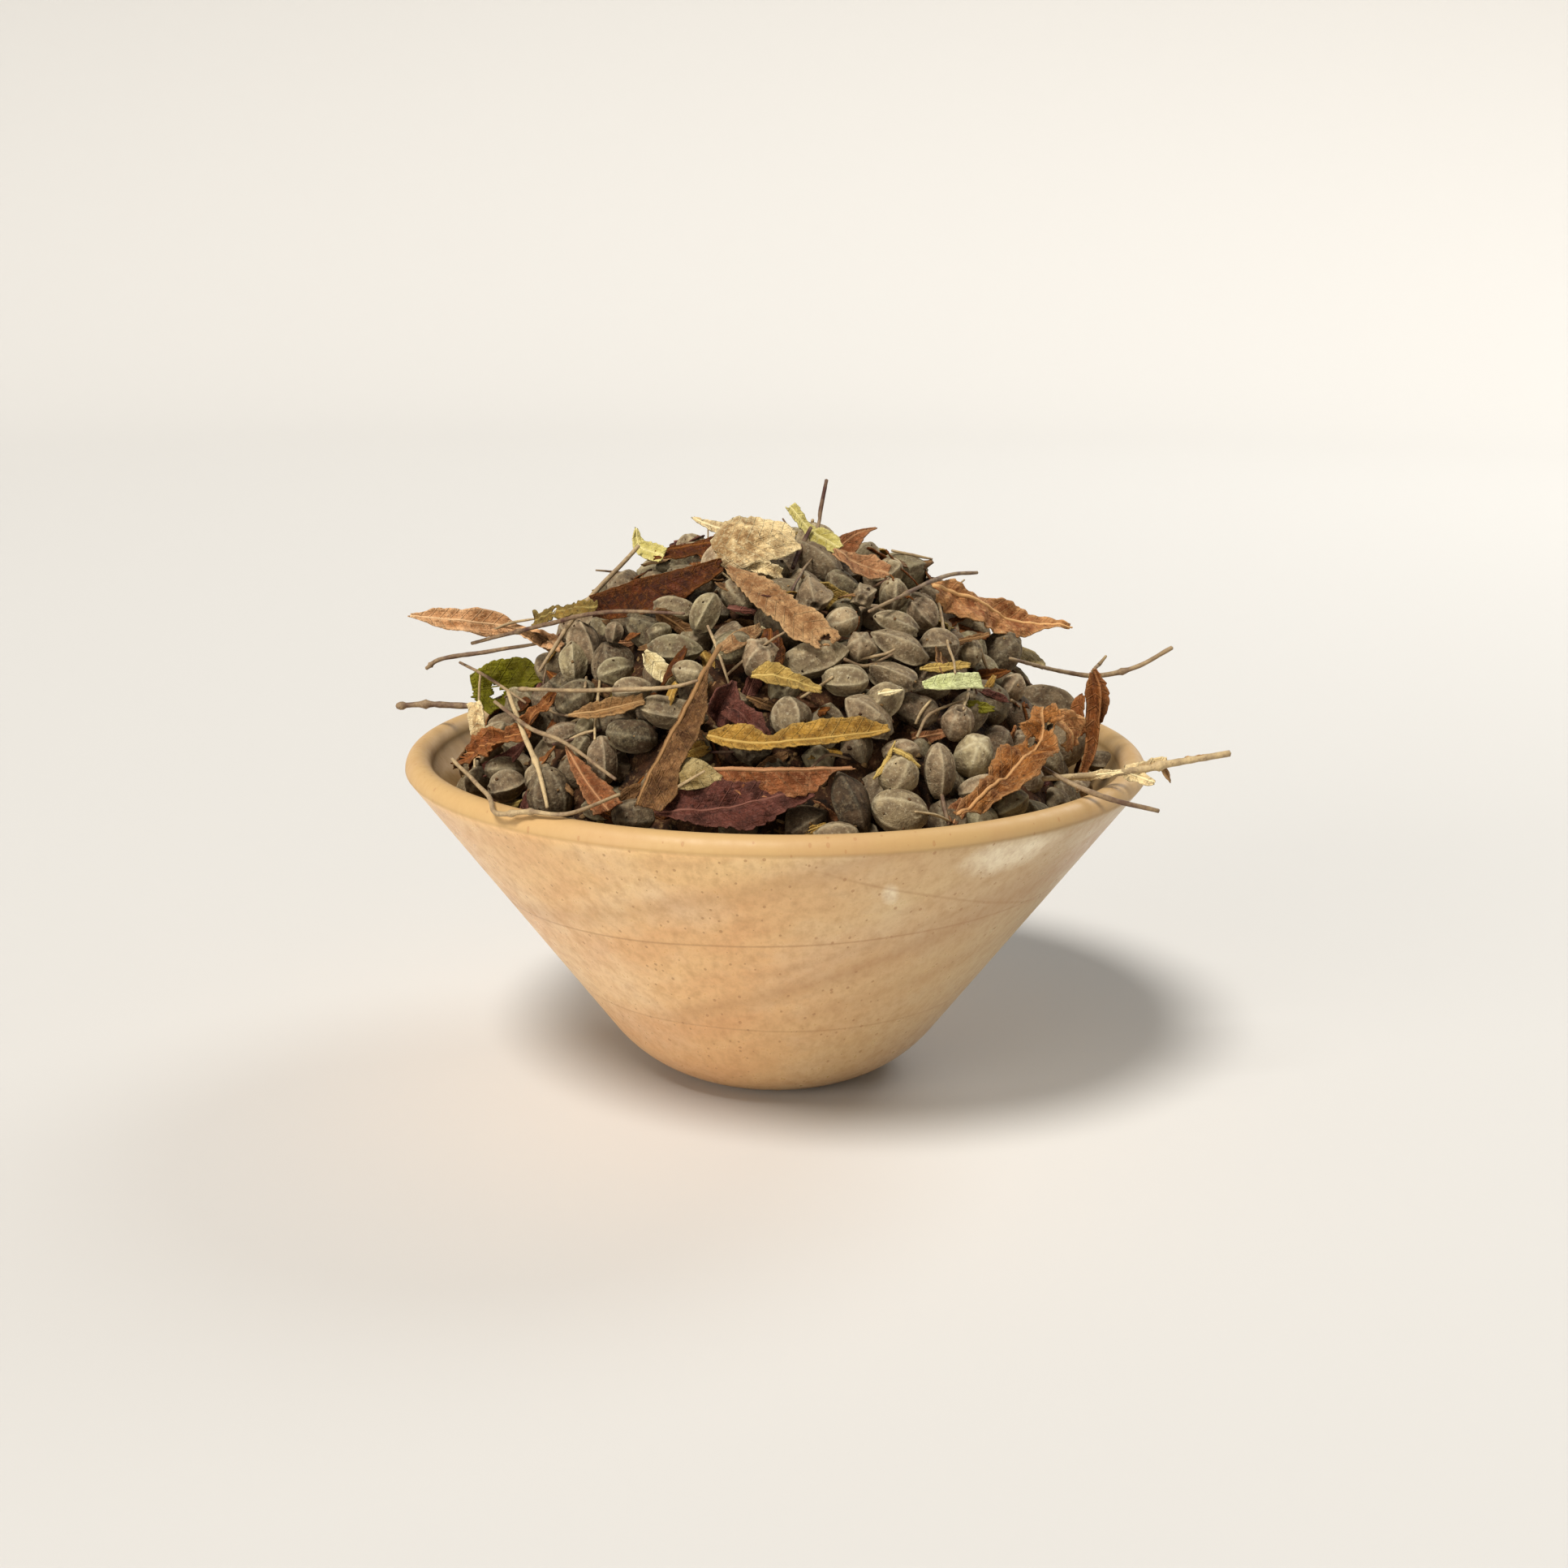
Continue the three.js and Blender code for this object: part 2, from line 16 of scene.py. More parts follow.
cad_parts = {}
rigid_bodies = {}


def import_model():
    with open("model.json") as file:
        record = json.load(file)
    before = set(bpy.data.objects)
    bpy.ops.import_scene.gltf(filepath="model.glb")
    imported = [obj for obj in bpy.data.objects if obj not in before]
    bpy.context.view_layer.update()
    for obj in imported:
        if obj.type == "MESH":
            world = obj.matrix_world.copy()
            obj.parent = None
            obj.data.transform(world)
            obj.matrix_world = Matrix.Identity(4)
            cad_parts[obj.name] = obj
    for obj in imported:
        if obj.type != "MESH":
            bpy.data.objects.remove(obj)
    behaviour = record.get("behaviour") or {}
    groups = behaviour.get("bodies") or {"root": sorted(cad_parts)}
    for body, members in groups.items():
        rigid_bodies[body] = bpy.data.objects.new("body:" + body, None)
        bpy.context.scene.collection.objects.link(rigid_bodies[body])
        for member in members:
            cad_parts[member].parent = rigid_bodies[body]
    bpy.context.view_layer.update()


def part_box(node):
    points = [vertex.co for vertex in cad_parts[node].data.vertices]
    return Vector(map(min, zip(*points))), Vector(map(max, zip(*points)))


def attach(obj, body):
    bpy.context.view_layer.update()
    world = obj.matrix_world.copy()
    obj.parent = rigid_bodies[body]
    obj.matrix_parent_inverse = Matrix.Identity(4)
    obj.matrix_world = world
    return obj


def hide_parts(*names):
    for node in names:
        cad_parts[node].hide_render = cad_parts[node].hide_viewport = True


bl_info = {
    "name": "Bowl of dried linden fruits",
    "version": (1, 0, 0),
    "blender": (4, 5, 0),
    "location": "3D View > Sidebar > Linden bowl",
    "description": "Builds a wooden bowl heaped with dried linden fruits, leaves and stalks",
    "category": "Add Mesh",
}

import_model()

MM = 0.001  # metres in a millimetre

# ---- The photograph's camera: lengths in mm, picture places in pixels of its 1932-pixel frame ----

PICTURE_SIDE = 1932
FOCAL_LENGTH = 2695.0  # in pixels
SENSOR_WIDTH = 36.0
VIEW_DISTANCE = 450.0
VIEW_ELEVATION = math.radians(13.75)
VIEW_ROLL = math.radians(0.48)
VIEW_TARGET = np.array((1.68, 0.0, 59.4))

LEVEL_RIGHT = np.array((1.0, 0.0, 0.0))
LEVEL_UP = np.array((0.0, math.sin(VIEW_ELEVATION), math.cos(VIEW_ELEVATION)))
FORWARD = np.array((0.0, math.cos(VIEW_ELEVATION), -math.sin(VIEW_ELEVATION)))
RIGHTWARD = math.cos(VIEW_ROLL) * LEVEL_RIGHT + math.sin(VIEW_ROLL) * LEVEL_UP
UPWARD = math.cos(VIEW_ROLL) * LEVEL_UP - math.sin(VIEW_ROLL) * LEVEL_RIGHT
EYE = VIEW_TARGET - VIEW_DISTANCE * FORWARD

# ---- Bowl and heap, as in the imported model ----

_, BOWL_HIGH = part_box("bowl")
RIM_RADIUS = BOWL_HIGH.x / MM
RIM_HEIGHT = BOWL_HIGH.z / MM
FOOT_RADIUS = 17.5
SIDE_ANGLE = math.radians(37)  # lean of the side from the vertical
LIP_HALF_WIDTH = 2.7
LIP_RISE = 3.2
LIP_STEPS = 18  # rings round the lip, from its outer foot over the top to its inner foot
FLOOR_THICKNESS = 6.0
FOOT_EDGE_RADIUS = 10.0
FOOT_EDGE_SLOPE = math.radians(22)
BELLY_INNER_RADIUS = 24.0
SIDE_LEAN = math.tan(SIDE_ANGLE)
WALL_SLOPE = math.pi / 2 - SIDE_ANGLE
LIP_BASE_HEIGHT = RIM_HEIGHT - LIP_RISE
INNER_RIM_RADIUS = RIM_RADIUS - 2 * LIP_HALF_WIDTH

# Lines of the bowl's grain: height in mm at the axis, rise towards +X, half-width in mm, depth of
# colour, and the x in mm from which they show.
Grain = namedtuple("Grain", "height tilt width depth start")
GRAIN_LINES = (
    Grain(43.4, 0.055, 0.35, 0.6, -100),
    Grain(21.2, 0.0, 0.35, 0.45, -100),
    Grain(64.5, -0.38, 0.5, 0.42, 4),
    Grain(31.0, 0.4, 4.0, 0.42, -26),
    Grain(36.5, 0.36, 2.0, 0.25, -10),
    Grain(58.0, 0.34, 4.0, 0.3, -100),
    Grain(24.0, 0.3, 3.0, 0.2, 0),
)
# Soft pale patches of the wood, the last of them a painted highlight, a painted reflection below the lip
# at the right: place and half-extents in mm, and depth of colour.
Patch = namedtuple("Patch", "at size depth")
WOOD_PATCHES_AND_HIGHLIGHT = (
    Patch((-15.0, -62.0, 52.0), (11, 12, 7), 0.35),
    Patch((20.7, -63.0, 55.5), (1.6, 10, 2.6), 0.8),
    Patch((43.0, -59.0, 61.0), (13, 14, 4.6), 1.0),
)

HEAP_HEIGHT = 110.0
HEAP_RADIUS = 65.0
HEAP_EDGE_HEIGHT = 59.2
HEAP_ROUNDNESS = 2.4  # power of the outline's fall from its middle to its edge
CREST_HEIGHT = 92.0  # what is strewn behind the crest is kept low where the outline is above this
CORE_FLOOR = HEAP_EDGE_HEIGHT - 14
FRUIT_WIDTH = 8.2

GOLDEN_ANGLE = math.pi * (3 - math.sqrt(5))
DROP_HEIGHT = 20.0  # above the heap's outline, from where strewn things are let down
DEEPEST_DROP = 32.0  # anything let down farther has missed the heap
FARTHEST_SIGHT = 600.0  # a sight line that meets nothing up to here misses the heap
VEIN_SPACING = 2.3
VEIN_SLANT = 0.85
SCRAP_GRAIN, STREWN_GRAIN = 0.4, 0.9  # face lengths on scraps of the photograph and on strewn ones
LINE_POINTS = 9  # points along a twig that is laid on the heap
FRUIT_SEED, LEAF_SEED, STALK_SEED, SCRAP_SEED, TWIG_SEED, CRUMB_SEED = 11, 200, 300, 41, 52, 63

# ---- Fruits that can be told apart in the photograph ----

# facet: 0 is round in section, 1 has flat faces between the ribs. rib is the ribs' height in mm.
# beak and base: how far the tip and the stalk end are drawn out to a point.
Form = namedtuple("Form", "ribs facet rib beak base")
ROUND = Form(ribs=5, facet=0.15, rib=0.06, beak=0.12, base=0.0)
RIBBED = Form(ribs=5, facet=0.55, rib=0.17, beak=0.3, base=0.05)
KEELED = Form(ribs=4, facet=0.5, rib=0.22, beak=0.5, base=0.35)
ANGULAR = Form(ribs=4, facet=0.75, rib=0.2, beak=0.25, base=0.0)
CRUMB = Form(ribs=4, facet=0.8, rib=0.1, beak=0.2, base=0.1)
FORMS = {"round": ROUND, "ribbed": RIBBED, "keeled": KEELED, "angular": ANGULAR}
# Places of a section's points between one rib and the next, closer together at the ribs.
FINE_STEPS = np.array((0.0, 0.03, 0.07, 0.14, 0.25, 0.38, 0.5, 0.62, 0.75, 0.86, 0.93, 0.97))
COARSE_STEPS = np.array((0.0, 0.07, 0.25, 0.5, 0.75, 0.93))
CRUMB_STEPS = np.array((0.0, 0.5))

# at, length and width are in the picture's pixels. turn is where the tip points in the picture,
# anticlockwise from the right, and lean how far it comes towards the viewer, both in degrees.
# roll turns the fruit about its own axis, and tone runs from 0, dark, to 1, pale.
Fruit = namedtuple("Fruit", "at length width turn lean roll form tone")
FRUITS = {
    "peak_large": Fruit((1012, 698), 74, 52, 132, 5, 25, KEELED, 0.42),
    "peak_pale_point": Fruit((879, 692), 42, 32, 75, 0, 10, RIBBED, 0.85),
    "peak_scar": Fruit((1002, 736), 54, 50, 100, -60, 0, ANGULAR, 0.55),
    "peak_square": Fruit((1064, 735), 40, 34, 60, -72, 40, ANGULAR, 0.55),
    "peak_dome": Fruit((1100, 733), 42, 40, 80, 35, 20, RIBBED, 0.55),
    "peak_olive": Fruit((1094, 704), 38, 34, 30, 20, 30, RIBBED, 0.8),
    "peak_egg": Fruit((1037, 766), 46, 38, 20, -25, 10, ROUND, 0.85),
    "upper_star": Fruit((1060, 797), 40, 38, 90, 65, 0, RIBBED, 0.5),
    "upper_keel": Fruit((1109, 797), 72, 44, 155, 5, 30, KEELED, 0.55),
    "upper_long": Fruit((1105, 770), 56, 32, 160, 0, 20, RIBBED, 0.5),
    "upper_mottled": Fruit((910, 735), 48, 42, 130, 10, 0, ROUND, 0.35),
    "upper_brown": Fruit((903, 797), 50, 44, 20, 10, 40, ROUND, 0.35),
    "centre_scar": Fruit((938, 811), 52, 54, 255, -48, 35, RIBBED, 0.68),
    "centre_large": Fruit((999, 813), 86, 50, 15, 0, 35, KEELED, 0.62),
    "centre_olive": Fruit((1042, 838), 54, 46, 0, 12, 20, RIBBED, 0.62),
    "centre_angular": Fruit((1100, 834), 66, 42, 160, -25, 20, ANGULAR, 0.52),
    "centre_crusted": Fruit((1088, 864), 54, 46, 30, 15, 0, RIBBED, 0.5),
    "centre_ridged": Fruit((973, 884), 48, 56, 95, 0, 18, RIBBED, 0.55),
    "centre_patina": Fruit((1070, 884), 68, 48, 140, 5, 25, KEELED, 0.55),
    "front_dark_pear": Fruit((1049, 991), 74, 52, 112, 5, 20, KEELED, -0.05),
    "front_large": Fruit((1108, 1000), 70, 58, 165, 10, 30, ROUND, 0.68),
    "front_beige": Fruit((1108, 954), 52, 50, 60, 30, 15, ROUND, 0.72),
    "front_sliver": Fruit((1031, 1030), 54, 38, 5, 0, 20, ROUND, 0.6),
    "front_stalked": Fruit((1156, 950), 64, 45, 92, 8, 15, RIBBED, 0.52),
    "front_ball": Fruit((1200, 931), 56, 56, 80, 55, 0, ROUND, 1.0),
    "front_small_scar": Fruit((1180, 892), 46, 43, 262, -38, 20, ROUND, 0.48),
    "front_behind": Fruit((1206, 972), 54, 38, 15, 0, 10, RIBBED, 0.6),
    "front_hidden": Fruit((1110, 925), 44, 30, 10, 0, 10, ROUND, 0.5),
    "right_purple": Fruit((1246, 990), 44, 36, 30, 0, 10, ANGULAR, 0.5),
    "right_ridged": Fruit((1290, 864), 68, 48, -12, 0, 20, RIBBED, 0.35),
    "right_small": Fruit((1248, 846), 34, 34, 60, 20, 0, RIBBED, 0.5),
    "right_brown": Fruit((1314, 914), 58, 52, 80, 10, 10, ROUND, 0.5),
    "right_wall": Fruit((1357, 938), 42, 30, 0, 0, 20, RIBBED, 0.3),
    "flank_keel": Fruit((1157, 795), 48, 44, 5, 0, 0, RIBBED, 0.45),
    "flank_olive": Fruit((1137, 756), 42, 38, -50, 10, 0, ANGULAR, 0.45),
    "flank_pale": Fruit((1195, 802), 36, 34, 100, 20, 20, ROUND, 0.6),
    "left_hooked": Fruit((722, 796), 62, 46, 105, 5, 25, KEELED, 0.48),
    "left_pink": Fruit((706, 816), 48, 36, 95, 0, 10, RIBBED, 0.68),
    "left_olive": Fruit((758, 827), 44, 36, 200, 20, 0, ROUND, 0.55),
    "left_speckled": Fruit((709, 860), 54, 44, 30, 20, 0, ROUND, 0.22),
    "left_striped": Fruit((779, 852), 46, 36, 5, 0, 0, RIBBED, 0.55),
    "left_long": Fruit((829, 801), 66, 40, 0, 0, 20, KEELED, 0.42),
    "left_tipped": Fruit((831, 751), 54, 38, -8, 0, 25, RIBBED, 0.55),
    "left_bright_rib": Fruit((869, 755), 52, 38, 62, 5, 5, RIBBED, 0.6),
    "left_pale": Fruit((850, 830), 42, 34, -10, 10, 0, ROUND, 0.72),
    "left_dark_small": Fruit((757, 779), 26, 24, 80, 0, 0, RIBBED, 0.35),
    "left_green_small": Fruit((812, 779), 30, 24, 20, 0, 0, ROUND, 0.55),
    "lower_dark": Fruit((778, 907), 60, 50, 172, 5, 0, ROUND, 0.12),
    "lower_pointed": Fruit((741, 937), 58, 46, 92, 5, 12, RIBBED, 0.42),
    "lower_long": Fruit((827, 878), 82, 44, -10, 0, 20, KEELED, 0.35),
    "lower_round": Fruit((678, 981), 68, 58, 100, 15, 40, ROUND, 0.22),
    "lower_beige": Fruit((722, 895), 26, 24, 40, 0, 0, ROUND, 0.65),
    "lower_left": Fruit((694, 906), 46, 38, 20, 0, 20, ROUND, 0.38),
    "lower_shade": Fruit((716, 919), 34, 30, 60, 0, 0, ROUND, 0.32),
    "lower_angular": Fruit((835, 988), 48, 36, 10, 0, 20, ANGULAR, 0.2),
    "wall_round": Fruit((589, 962), 36, 34, 60, 20, 0, ROUND, 0.4),
    "wall_open": Fruit((624, 968), 46, 38, 20, -20, 10, ANGULAR, 0.5),
    "wall_back": Fruit((622, 948), 46, 34, 0, 0, 0, ROUND, 0.32),
    "wall_pink": Fruit((664, 956), 36, 32, 40, 10, 0, RIBBED, 0.45),
}

# ---- Leaves ----

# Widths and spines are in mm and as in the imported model: a leaf lies along its spine and faces the
# way face points. right and left are its half-widths as shares of half the full width, evenly
# spaced along the spine, with right on the right hand of someone who walks along it face up.
# fold lifts both edges, rib is the radius of the midrib and stem how far it runs on past the
# first and the last end. teeth, torn and crumple are the sizes of those edges and folds.
# holes are (share along, place across from -1 to 1, radius), and fade is how much more the first end
# is blotched than the last.
WHOLE = (0.15, 0.7, 0.95, 1.0, 0.9, 0.65, 0.12)
STRIP = (0.8, 1.0, 0.9, 1.0, 0.85)
EDGE = (0.06, 0.1, 0.08, 0.06)
Leaf = namedtuple(
    "Leaf", "colour width fold face spine right left rib stem teeth torn crumple holes fade"
)


def leaf(colour, width, fold, face, spine, right=WHOLE, left=WHOLE, **other):
    """A Leaf with the usual rib, edge and folds, except for those given."""
    usual = dict(rib=0.3, stem=(0, 0), teeth=0.25, torn=0.3, crumple=0.35, holes=(), fade=0)
    return Leaf(colour, width, fold, face, spine, right, left, **{**usual, **other})


LEAVES = {
    "leaf_left_flag": leaf(
        "tan", 6, 0.15, (0.1, -0.85, 0.5),
        [(-73.5, -6, 94.8), (-63, -4, 93.5), (-52.1, 0, 91.2), (-42.5, -9, 89)],
        right=(0.05, 0.3, 0.5, 0.7, 0.85, 0.95, 0.9, 0.3, 0.5, 0.7, 0.5, 0.3),
        left=(0.08, 0.4, 0.7, 0.8, 0.9, 1.0, 0.9, 0.25, 0.3, 0.5, 0.6, 0.3),
        rib=0.2, torn=0.4, teeth=0.1, crumple=0.5,
    ),
    "leaf_left_green": leaf(
        "green", 11.5, 0.2, (0.1, -0.95, 0.3),
        [(-62.3, 6, 77.4), (-55.6, 5, 78.5), (-48, 3, 79.8)],
        right=(0.5, 0.9, 0.75, 0.95, 0.9, 0.5), left=(0.6, 0.8, 1.0, 0.95, 0.9, 0.45),
        rib=0.2, torn=0.8, teeth=0.3, crumple=0.7, holes=((0.36, 0.25, 1.3), (0.9, 0.5, 1.5)),
    ),
    "leaf_left_low": leaf(
        "russet", 7, 0.4, (-0.4, -0.7, 0.6),
        [(-61.5, -21, 70.5), (-54.5, -26.5, 73.5), (-48, -32, 77.4), (-43, -30, 83.2)],
        right=(0.7, 1.0, 0.9, 0.8, 0.5, 0.3, 0.4, 0.2), left=(0.8, 1.0, 0.9, 0.6, 0.4, 0.5, 0.3, 0.2),
        rib=0.2, torn=0.9, crumple=1.3,
    ),
    "leaf_olive_left": leaf(
        "olive", 4.5, 0.15, (-0.3, -0.7, 0.6),
        [(-49.5, -5, 93.9), (-42.5, -12, 96.6), (-35, -18.5, 99.2)],
        right=STRIP, left=(0.9, 0.5, 0.9, 1.0, 0.6), torn=0.7, crumple=0.8, rib=0.15,
        holes=((0.45, 0.1, 0.9),),
    ),
    "leaf_brown_back": leaf(
        "brown", 5.5, 0.3, (-0.2, -0.8, 0.5),
        [(-24.5, -2, 107.6), (-17, -2, 108.8), (-10.6, -3, 110.2)],
        right=STRIP, left=(0.1, 0.25, 0.15, 0.35, 0.5), torn=0.4, crumple=0.4, rib=0.12,
    ),
    "leaf_brown_ridge": leaf(
        "brown", 12, 0.25, (-0.15, -0.9, 0.4),
        [(-36, -13, 99), (-24.5, -20.2, 103.6), (-11, -21, 108)],
        right=(0.5, 0.8, 0.9, 0.95, 0.95, 0.85, 0.6, 0.3), left=(0.2, 0.28, 0.3, 0.25, 0.2, 0.12),
        rib=0, teeth=0.1, torn=0.35, crumple=0.4,
    ),
    "leaf_cream_peak": leaf(
        "cream", 13, -0.3, (-0.1, -0.75, 0.65),
        [(-12, -17.5, 109.5), (-4.3, -17, 112), (3.2, -12, 112.2)],
        right=(0.45, 0.8, 0.75, 0.8, 0.75, 0.5), left=(0.5, 0.9, 1.0, 1.0, 0.9, 0.55),
        rib=0, torn=0.5, teeth=0.2, crumple=0.4, fade=3.2,
    ),
    "leaf_cream_peak.fold": leaf(
        "cream", 2.8, 0.5, (-0.1, -0.9, 0.35),
        [(-9.3, -19.4, 108.2), (-5.1, -19.8, 107.1), (-1.9, -19.8, 106.7), (1.2, -18.8, 105.3)],
        right=(0.1, 0.5, 0.7, 0.8, 1.0, 0.7), left=(0.1, 0.5, 0.7, 0.9, 0.8, 0.6), rib=0,
        torn=0.35, crumple=0.3,
    ),
    "leaf_tan_front": leaf(
        "fawn", 9, 0.1, (0.2, -0.75, 0.6),
        [(-9, -23.4, 107.4), (-0.3, -32.9, 102.6), (9.6, -38.7, 96.0)],
        right=(0.2, 0.5, 0.7, 0.8, 0.75, 0.95, 0.6), left=(0.15, 0.5, 0.65, 0.75, 0.6, 0.8, 0.5),
        rib=0, torn=0.7, teeth=0.4, crumple=0.4, holes=((0.985, 0.05, 1.3),), fade=1.4,
    ),
    "leaf_rust_peak": leaf(
        "rose", 8, 0.3, (0.2, -0.7, 0.7),
        [(11.4, -12, 109.8), (16.6, -13, 107.2), (21.6, -14, 104.8)],
        right=(0.5, 0.8, 1.0, 0.7, 0.8, 0.3), left=(0.1, 0.3, 0.45, 0.7, 0.5, 0.3),
        torn=0.5, crumple=0.8, rib=0.12, fade=0.6,
    ),
    "leaf_rust_peak.tip": leaf(
        "rust", 7, 0.25, (0.1, -0.9, 0.4),
        [(12.0, -3, 108.6), (15.6, -1, 111.0), (19.8, 1, 112.2)],
        right=(0.9, 0.9, 0.7, 0.4, 0.12, 0.03), left=(0.5, 0.5, 0.3, 0.2, 0.1, 0.03),
        rib=0.15, torn=0.2, crumple=0.4,
    ),
    "leaf_right_flag": leaf(
        "bronze", 12, 0.15, (0.2, -0.75, 0.6),
        [(31.5, -6, 101.6), (39, -1, 98.4), (48.7, 5, 93.2), (59.4, 5, 91.9)],
        right=(0.5, 0.8, 0.95, 0.9, 0.8, 0.6, 0.35, 0.06),
        left=(0.15, 0.5, 0.15, 0.3, 0.55, 0.5, 0.3, 0.06),
        rib=0.5, stem=(0, 1), torn=0.6, teeth=0.15, crumple=0.9,
    ),
    "leaf_red_middle": leaf(
        "maroon", 6, 0.4, (0.1, -0.75, 0.65),
        [(-8.6, -48.6, 86.0), (-4.6, -51.4, 83.6), (-1.4, -52.6, 80.6)],
        right=(0.7, 1.0, 0.7, 0.9, 0.3), left=(0.5, 0.8, 1.0, 0.6, 0.3), torn=0.7, crumple=1.0, rib=0.12,
    ),
    "leaf_red_middle.stand": leaf(
        "maroon", 6, 0.4, (0.3, -0.9, 0.3),
        [(-8.0, -47.4, 89.6), (-9.4, -48.0, 86), (-10.2, -49.0, 82.6)],
        right=(0.5, 0.9, 0.8, 1.0, 0.6), left=(0.4, 0.7, 0.9, 0.9, 0.5), torn=0.6, crumple=0.8, rib=0,
    ),
    "leaf_rolled": leaf(
        "bark", 3.5, 0.7, (-0.2, -0.8, 0.55),
        [(-38.5, -38.6, 81.6), (-31.8, -42.6, 83.6), (-24, -45.4, 86)],
        right=(0.1, 0.7, 0.9, 1.0, 0.5), left=(0.1, 0.8, 1.0, 0.9, 0.6), torn=0.3, crumple=0.3,
    ),
    "leaf_yellow_fold": leaf(
        "mustard", 5.5, 0.3, (0, -0.7, 0.7),
        [(-4.4, -45.8, 90.6), (1.6, -47, 90.8), (8.4, -47, 88.6)],
        right=(0.1, 0.5, 0.7, 0.6, 0.3), left=(0.2, 0.9, 1.0, 0.5, 0.6, 0.1),
        torn=0.3, crumple=0.7, rib=0.25,
    ),
    "leaf_ochre_front": leaf(
        "ochre", 7.4, 0.25, (0, -0.72, 0.68),
        [(-12.2, -52.8, 81), (-2.2, -54.6, 80.4), (9.5, -53.6, 81.2), (20.7, -49.2, 81.8)],
        right=(0.2, 0.4, 0.45, 0.4, 0.35, 0.35, 0.3, 0.25, 0.1),
        left=(0.3, 0.8, 0.95, 0.35, 0.95, 1.0, 1.0, 0.85, 0.2),
        rib=0.35, teeth=0.3, torn=0.2, crumple=0.3,
    ),
    "leaf_rust_front": leaf(
        "rust", 11, -0.12, (0, -0.85, 0.5),
        [(-10.9, -57.2, 76), (0.8, -58.6, 76.2), (13.9, -56.6, 76.4)],
        right=(0.3, 0.6, 0.85, 0.95, 0.9, 0.9, 0.75, 0.06, 0.04), left=EDGE,
        rib=0.42, stem=(4, 0), teeth=0.4, torn=0.4, crumple=0.5, fade=-0.9,
    ),
    "leaf_maroon_front": leaf(
        "maroon", 12, 0.1, (0.05, -0.8, 0.6),
        [(-20.6, -60, 68.6), (-7.8, -61.6, 70.4), (6.6, -59.6, 73)],
        right=(0.1, 0.3, 0.5, 0.65, 0.85, 0.7, 0.45, 0.25),
        left=(0.1, 0.7, 0.95, 0.9, 0.7, 0.6, 0.65, 0.3),
        rib=0.3, teeth=0.5, torn=0.4, crumple=0.6,
    ),
    "leaf_brown_diagonal": leaf(
        "umber", 13, 0.12, (-0.1, -0.85, 0.5),
        [(-12.4, -46, 92), (-18.2, -53.4, 82.4), (-24.4, -60.8, 70.6)],
        right=EDGE, left=(0.05, 0.3, 0.6, 0.7, 0.75, 0.7, 0.9, 0.7),
        rib=0.5, stem=(5, 0), teeth=0.25, torn=0.45, crumple=0.7, fade=0.9,
    ),
    "leaf_red_spear": leaf(
        "rust", 6, 0.2, (0, -0.75, 0.65),
        [(-38.5, -43.2, 76.5), (-34.3, -51, 72.2), (-29.8, -58, 68.6)],
        right=(0.1, 0.3, 0.5, 0.65, 0.8, 0.9), left=(0.1, 0.35, 0.6, 0.8, 1.0, 0.9),
        rib=0.28, torn=0.3, crumple=0.3,
    ),
    "leaf_crumpled_right": leaf(
        "amber", 10, 0.3, (-0.2, -0.85, 0.5),
        [(33.2, -56, 67.6), (42, -47, 73), (49.6, -36.4, 77.4), (50.4, -32, 82.4)],
        right=(0.2, 0.4, 0.7, 1.0, 0.9, 1.0, 0.4, 0.8, 0.4),
        left=(0.2, 0.3, 0.4, 0.7, 1.0, 0.5, 0.9, 0.4, 0.3),
        rib=0.42, torn=1.0, teeth=0.4, crumple=1.3, holes=((0.66, -0.35, 1.4), (0.8, 0.35, 1.1)),
        fade=1.2,
    ),
    "leaf_crumpled_edge": leaf(
        "bronze", 6.5, 0.4, (0.3, -0.8, 0.5),
        [(52.6, -31, 81), (56.2, -28.6, 77.6), (57.4, -27.6, 73.6)],
        right=(0.5, 0.9, 0.6, 1.0, 0.4), left=(0.4, 0.8, 1.0, 0.6, 0.3),
        rib=0.15, torn=0.8, crumple=1.3,
    ),
    "leaf_curl_right": leaf(
        "russet", 3.4, 0.9, (-0.4, -0.9, 0.1),
        [(63.2, -6, 84.5), (63.6, -9, 78.4), (62.8, -12, 69.5), (61.2, -14, 65.5)],
        right=(0.3, 0.9, 0.8, 0.7, 0.6, 0.4), left=(0.4, 1.0, 0.9, 0.6, 0.5, 0.3),
        rib=0, torn=0.25, teeth=0, crumple=0.4,
    ),
    "leaf_curl_right.left": leaf(
        "russet", 3.6, 0.5, (-0.5, -0.8, 0.2),
        [(61.2, -9, 80.6), (59.9, -11, 77.2), (61.0, -12, 72.8)],
        right=(0.3, 0.9, 1.0, 0.6), left=(0.2, 0.8, 0.8, 0.4), rib=0, torn=0.3, crumple=0.5,
    ),
    "leaf_curl_right.right": leaf(
        "russet", 2.2, 0.9, (0.3, -0.9, 0.1),
        [(64.0, -4, 84.8), (65.8, -5, 79.2), (64.6, -7, 73.9)],
        right=(0.3, 0.9, 0.8, 0.5), left=(0.3, 1.0, 0.8, 0.5), rib=0, torn=0.2, crumple=0.3,
    ),
    "husk_front": leaf(
        "husk", 6.6, -0.35, (-0.1, -0.8, 0.6),
        [(-20.0, -57.4, 73.6), (-15.4, -58.4, 75.6), (-9.4, -59.0, 74.8)],
        right=(0.2, 0.8, 1.0, 0.8, 0.15), left=(0.2, 0.8, 1.0, 0.7, 0.1), rib=0, teeth=0, torn=0.15,
        crumple=0.15,
    ),
    "husk_right": leaf(
        "husk", 6, -0.3, (0.3, -0.6, 0.75),
        [(46.5, 18, 86.4), (51, 12, 85.2), (54.8, 4, 83.4)],
        rib=0, teeth=0, crumple=0.15,
    ),
    "bract_lime_peak": leaf(
